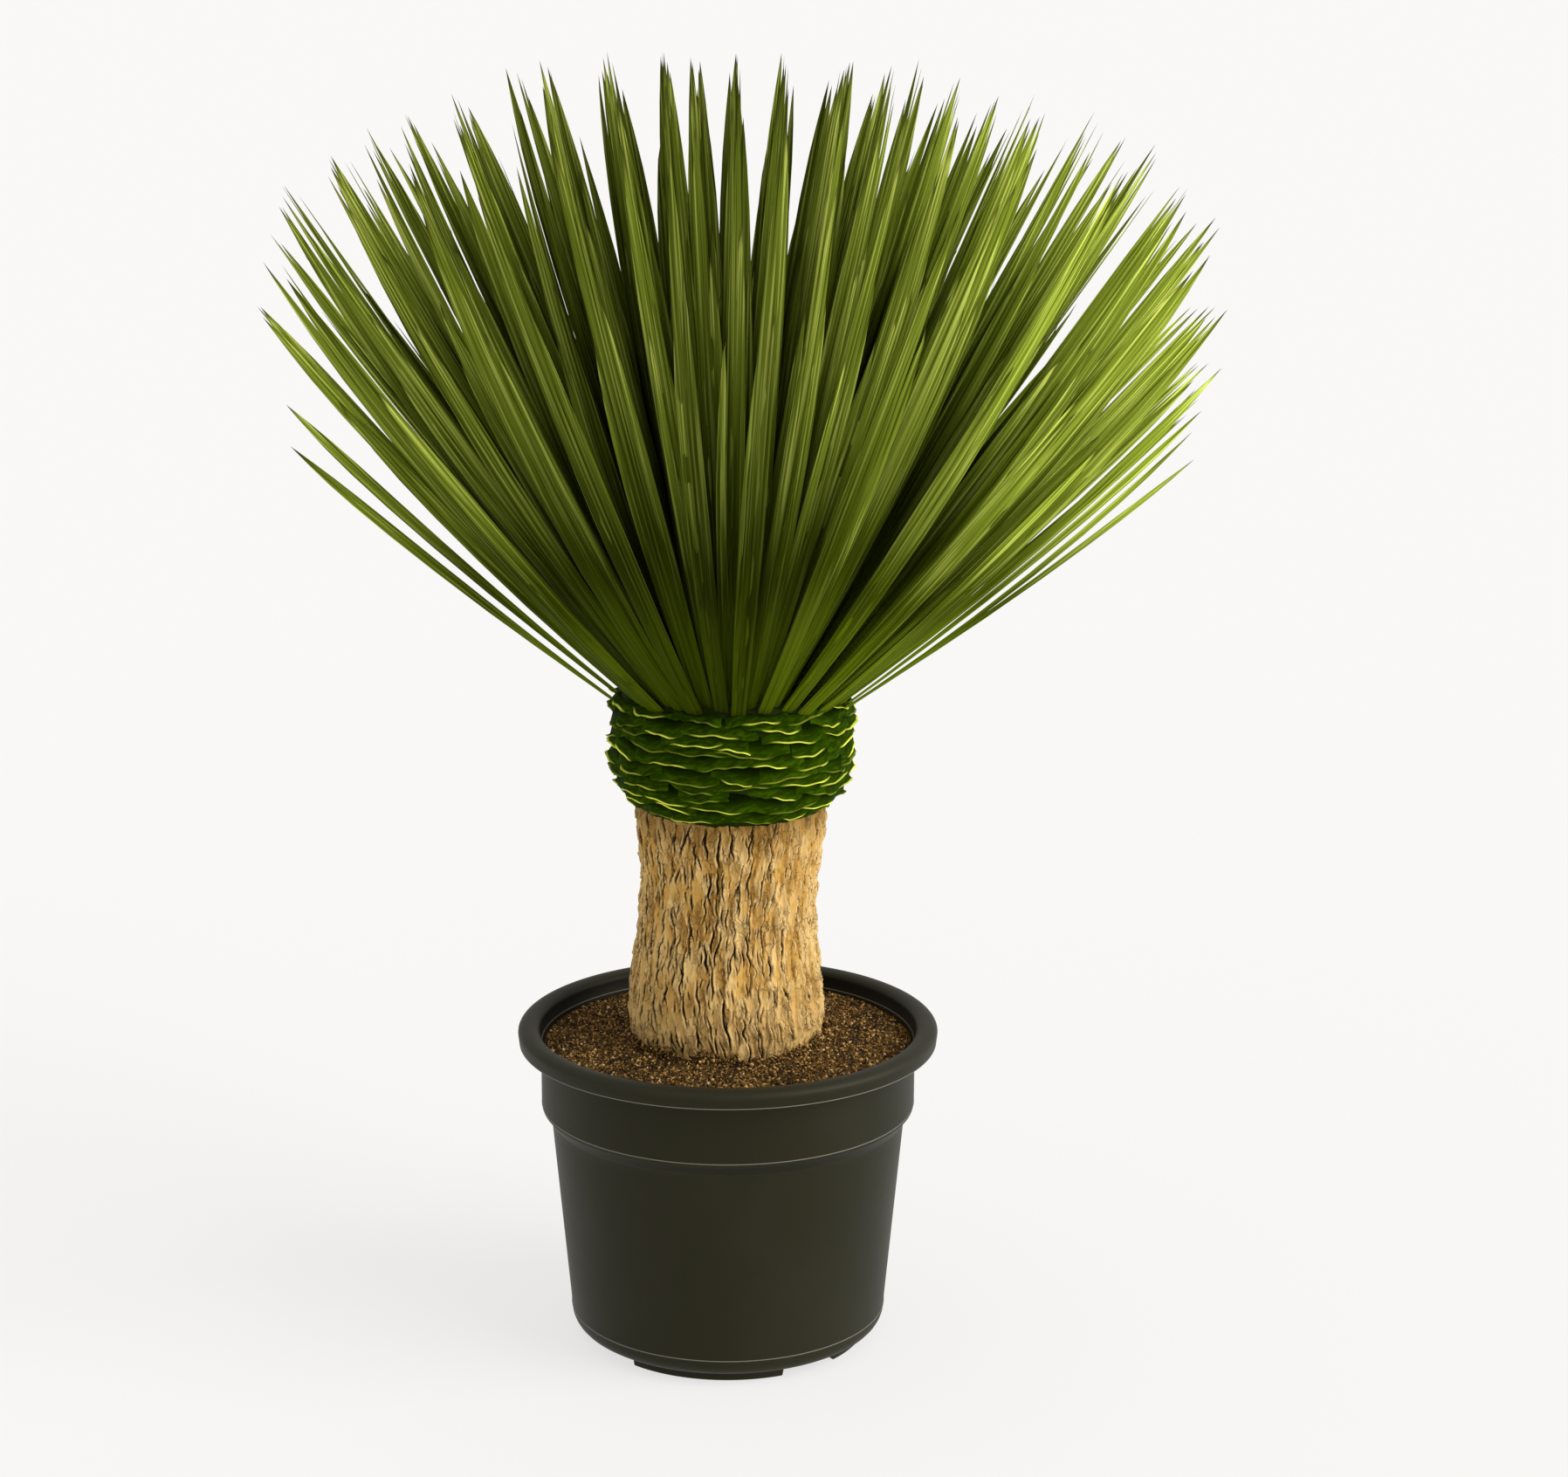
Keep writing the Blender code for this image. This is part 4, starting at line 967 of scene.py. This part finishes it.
def leaf_blade(root, tip, reach, twist, width, place, length, roll, bow, pleats):
    """The rings of one leaf (station, point, 3), its end point, and each station's share."""
    share = LEAF_STATIONS * length
    middle = strand_path(root, tip, reach, share)
    along = unit(strand_path(root, tip, reach, share + 0.01) - middle)
    level = unit(np.array((root[1], -root[0], 0.0)))
    wide = unit(level - (along @ level)[:, None] * along)
    turn = (twist * share)[:, None]
    wide = np.cos(turn) * wide + np.sin(turn) * np.cross(wide, along)
    deep = np.cross(along, wide)
    part = np.interp(share, (0.0, 0.45, 1.0), (0.3 * STRAND_HALF, STRAND_HALF, STRAND_PARTING))
    middle = middle + wide * (place[0] * part + bow[0] * np.sin(math.pi * share))[:, None]
    middle = middle + deep * (place[1] * part + bow[1] * np.sin(math.pi * share))[:, None]
    own = (roll * (0.25 + 0.75 * share))[:, None]
    face = (np.cos(own) * wide + np.sin(own) * deep)[:, None, :]
    back = np.cross(along[:, None, :], face)
    half = (width * LEAF_WIDTHS / 2)[:, None, None]
    around = np.linspace(-1, 1, pleats + 1)
    pleat = np.where(np.arange(pleats + 1) % 2, 1.0, -1.0) * PLEAT_DEPTH * (1 - around**4)
    rise = (LEAF_ARCH * (1 - around**2) + pleat)[None, :, None] * 2 * half
    outer = middle[:, None, :] + face * half * around[None, :, None] + back * rise
    thin = LEAF_THICKNESS * (0.4 + 0.6 * LEAF_WIDTHS)[:, None, None]
    inner = outer[:, 1:-1] - back * thin * (1 - around[1:-1] ** 6)[None, :, None]
    rings = np.concatenate([outer, inner[:, ::-1]], axis=1)
    end = strand_path(root, tip, reach, np.array([length]))[0]
    end = end + wide[-1] * place[0] * part[-1] + deep[-1] * place[1] * part[-1]
    return rings, end, share


def blade_faces(ring_points):
    """The faces of a leaf blade: quads of its sides, triangles at its point and its foot."""
    ring = np.arange(ring_points)
    beside = (ring + 1) % ring_points
    rows = np.arange(len(LEAF_STATIONS) - 1)[:, None] * ring_points
    sides = np.stack([rows + ring, rows + beside, rows + beside + ring_points, rows + ring + ring_points],
                     axis=2).reshape(-1, 4)
    point = len(LEAF_STATIONS) * ring_points
    last = point - ring_points
    ends = np.stack([ring + last, beside + last, np.full(ring_points, point)], axis=1)
    foot = np.stack([np.zeros(ring_points - 2, int), ring[2:], ring[1:-1]], axis=1)
    return sides, np.concatenate([ends, foot])


# The crown's heart: the green feet of the youngest leaves, a low dome on the collar that
# the other leaves hide.
core_lowest = math.acos((COLLAR_TOP + CORE_LIFT - CROWN_CENTRE) / CROWN_CORE_RADIUS)
core_profile = [(CROWN_CORE_RADIUS * math.sin(core_lowest * share),
                 CROWN_CENTRE + CROWN_CORE_RADIUS * math.cos(core_lowest * share))
                for share in np.linspace(0, 1, 12)]
core_profile.append((0.0, COLLAR_TOP + CORE_LIFT))
HEART_TONES = ((0.004, 0.007, 0.0005), (0.022, 0.036, 0.002))
heart, tree, shader = finish_of("leaf heart", HEART_TONES[0], 0.8, 0.1)
place = node(tree, "TexCoord").outputs["Object"]
shade = cloud(tree, place, 70.0, 2.0)
tree.links.new(between(tree, shade, *HEART_TONES), shader.inputs["Base Color"])
core = turned("leaf_heart", core_profile, 72, heart)
applied(core)
core.location.x = HEAD_SHIFT
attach(core, "root")

LEAF_GROOVE = (0.0145, 0.021, 0.0002)  # the dark lines between the ribs
LEAF_FOOT = (0.056, 0.081, 0.0014)
LEAF_DEEP = (0.028, 0.040, 0.0004)
LEAF_LIT = (0.152, 0.198, 0.017)
LEAF_STREAK = (0.45, 0.51, 0.10)
LEAF_END = (0.055, 0.050, 0.010)
blade, tree, shader = finish_of("leaf blade", LEAF_DEEP, 0.55, 0.012)
shader.inputs["Specular Tint"].default_value = (0.95, 1.0, 0.2, 1.0)
parts = node(tree, "SeparateXYZ", Vector=mark(tree, "blade")["Vector"]).outputs
along_share = parts["Y"]
streak_place = node(tree, "CombineXYZ", X=sums(tree, "MULTIPLY", parts["X"], 400.0),
                    Y=sums(tree, "MULTIPLY", along_share, 2.4), Z=parts["Z"])
streak = cloud(tree, streak_place.outputs["Vector"], 1.0, 2.0, 0.6)
# Painted light and shade along the blade: lighter at the crowded foot, darker part-way up, deep in the crown,
# and lighter towards the tip where it is lit.
colour = over(tree, LEAF_FOOT, LEAF_DEEP, along_share, 0.20, 0.42)
colour = over(tree, colour, LEAF_LIT, along_share, 0.39, 0.86, 0.97)
# The leaf's own light streaks, stronger towards the tip, painted brighter as highlights.
lighter_end = sums(tree, "POWER", along_share, 3.0)
light_lines = sums(tree, "MULTIPLY", step_up(tree, streak, 0.52, 0.62),
                   sums(tree, "MULTIPLY_ADD", lighter_end, 1.15, 0.03))
colour = between(tree, light_lines, colour, LEAF_STREAK)
colour = over(tree, colour, LEAF_GROOVE, streak, 0.46, 0.34, 0.70)
# Painted light and shade: the blade's colour is scaled by its strand's tone.
tinted = node(tree, "VectorMath", Vector=colour)
tinted.operation = "SCALE"
tree.links.new(mark(tree, "tone")["Fac"], tinted.inputs["Scale"])
colour = over(tree, tinted.outputs["Vector"], LEAF_END, along_share, 0.955, 1.0)
tree.links.new(colour, shader.inputs["Base Color"])
roughness = sums(tree, "MULTIPLY_ADD", streak, 0.3, 0.4)
tree.links.new(roughness, shader.inputs["Roughness"])
raised(tree, shader, streak, 0.0005)

crown_rng = np.random.default_rng(CROWN_SEED)
leaf_rng = np.random.default_rng(LEAF_SEED)
centres = lock_centres(crown_rng)
golden = math.pi * (3 - math.sqrt(5))
tufts = {"crown_heart": [], "crown_middle": [], "crown_skirt": []}
roots = []
for i in range(STRAND_COUNT):
    lean = math.acos(1 - (i + 0.5) / STRAND_COUNT * (1 - math.cos(LEAF_ROOT_LEAN)))
    azimuth = i * golden
    level = (math.sin(lean) * math.cos(azimuth), math.sin(lean) * math.sin(azimuth))
    roots.append(Vector((*level, math.cos(lean))))
roots += [towards(lean / LEAF_SIDE_SPREAD, 0.0) for lean in APART_LEANS]
for i, root in enumerate(roots):
    apart = i >= STRAND_COUNT
    share = (i + 0.5) / STRAND_COUNT
    side, depth = leans(root)
    foot = towards(side * LEAF_FOOT_SPREAD[0], depth * LEAF_FOOT_SPREAD[1])
    tip, out = towards(side * LEAF_SIDE_SPREAD, depth * LEAF_DEPTH_SPREAD), 0.0
    if not apart:
        tip, out = gathered(towards(side * LEAF_SIDE_SPREAD + CROWN_LEAN, depth * LEAF_DEPTH_SPREAD), centres)
    reach = leaf_reach(tip) * crown_rng.uniform(LEAF_SHORTEST, 1.0)
    twist = LEAF_TWIST * crown_rng.uniform(-1, 1)
    tip_lean = abs(leans(tip)[0])
    sunny = leans(tip)[0] / LONE_LEAN[1]
    shoulder = max(0.0, 1 - ((tip_lean - SHOULDER_LEAN) / SHOULDER_RANGE) ** 2)
    reach *= 1 + SHOULDER_GAIN[sunny > 0] * shoulder
    reach = min(reach, (TALLEST - CROWN_CENTRE) / tip.z)
    lone = tip_lean > LONE_LEAN[sunny > 0]
    sideways = min(1.0, abs(sunny)) ** 1.5
    twist *= 1 - 0.7 * sideways
    strand_tone = MIDDLE_TONE + SIDE_TONE * min(1.0, abs(sunny))
    strand_tone += SUNNY_TONE * min(1.0, max(0.0, 1.5 * sunny)) + SHADY_TONE * min(1.0, max(0.0, -sunny)) ** 3
    shorter = 1 - LOCK_SHORTENING * (0.85 * out + 0.15) * leaf_rng.uniform(0.25, 1.0)
    if lone and not apart and leaf_rng.uniform() < LONE_GAPS[sunny > 0]:
        continue
    to_front = math.copysign(APART_ROLL if apart else SIDE_ROLL, sunny) * sideways
    for k, (width, aside, length, roll, pleats) in enumerate(LEAF_KINDS[: 1 if lone else len(LEAF_KINDS)]):
        nudge = leaf_rng.uniform(-1, 1, 6)
        width *= (1 + 0.25 * nudge[0]) * (LONE_WIDTH if lone else 1.0)
        length = (length - (SIDE_LEAF_LOSS * (1 + nudge[3]) if k else 0.0)) * shorter
        rings, end, shares = leaf_blade(
            np.array(foot), np.array(tip), reach, twist, width,
            (aside + 0.15 * nudge[1], 0.35 * nudge[2] if k else 0.0),
            length, roll * nudge[4] - to_front, (LEAF_BOW[0] * nudge[5], LEAF_BOW[1] * nudge[1]), pleats,
        )
        ring_points = rings.shape[1]
        points = np.concatenate([rings.reshape(-1, 3), end[None]])
        along = np.concatenate([np.repeat(shares / length, ring_points), [1.0]])
        around = np.linspace(-1, 1, pleats + 1)
        around = np.concatenate([around, around[-2:0:-1]])
        spread = np.concatenate([(LEAF_WIDTHS[:, None] * width / 2 * around).ravel(), [0.0]])
        marks = np.stack([spread, along, np.full(len(along), (i * 5 + k) * 7.31)], axis=1)
        tone = np.full(len(along), strand_tone * leaf_rng.uniform(0.78, 1.22))
        tufts[list(tufts)[min(2, int(share * 3))]].append((points, marks, tone, *blade_faces(ring_points)))
for name, leaves in tufts.items():
    points, marks, tones, sides, ends = zip(*leaves)
    starts = np.cumsum([0] + [len(each) for each in points[:-1]])
    sides = np.concatenate([each + start for each, start in zip(sides, starts)])
    ends = np.concatenate([each + start for each, start in zip(ends, starts)])
    mesh = bare_mesh(name, np.concatenate(points) + (HEAD_SHIFT, 0.0, CROWN_CENTRE), [sides, ends])
    mesh.shade_smooth()
    mesh.set_sharp_from_angle(angle=math.radians(28))
    marked(mesh, "blade", np.concatenate(marks))
    marked(mesh, "tone", np.concatenate(tones))
    piece = placed(name, mesh, blade)
    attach(piece, "root")
    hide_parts("leaf_crown")
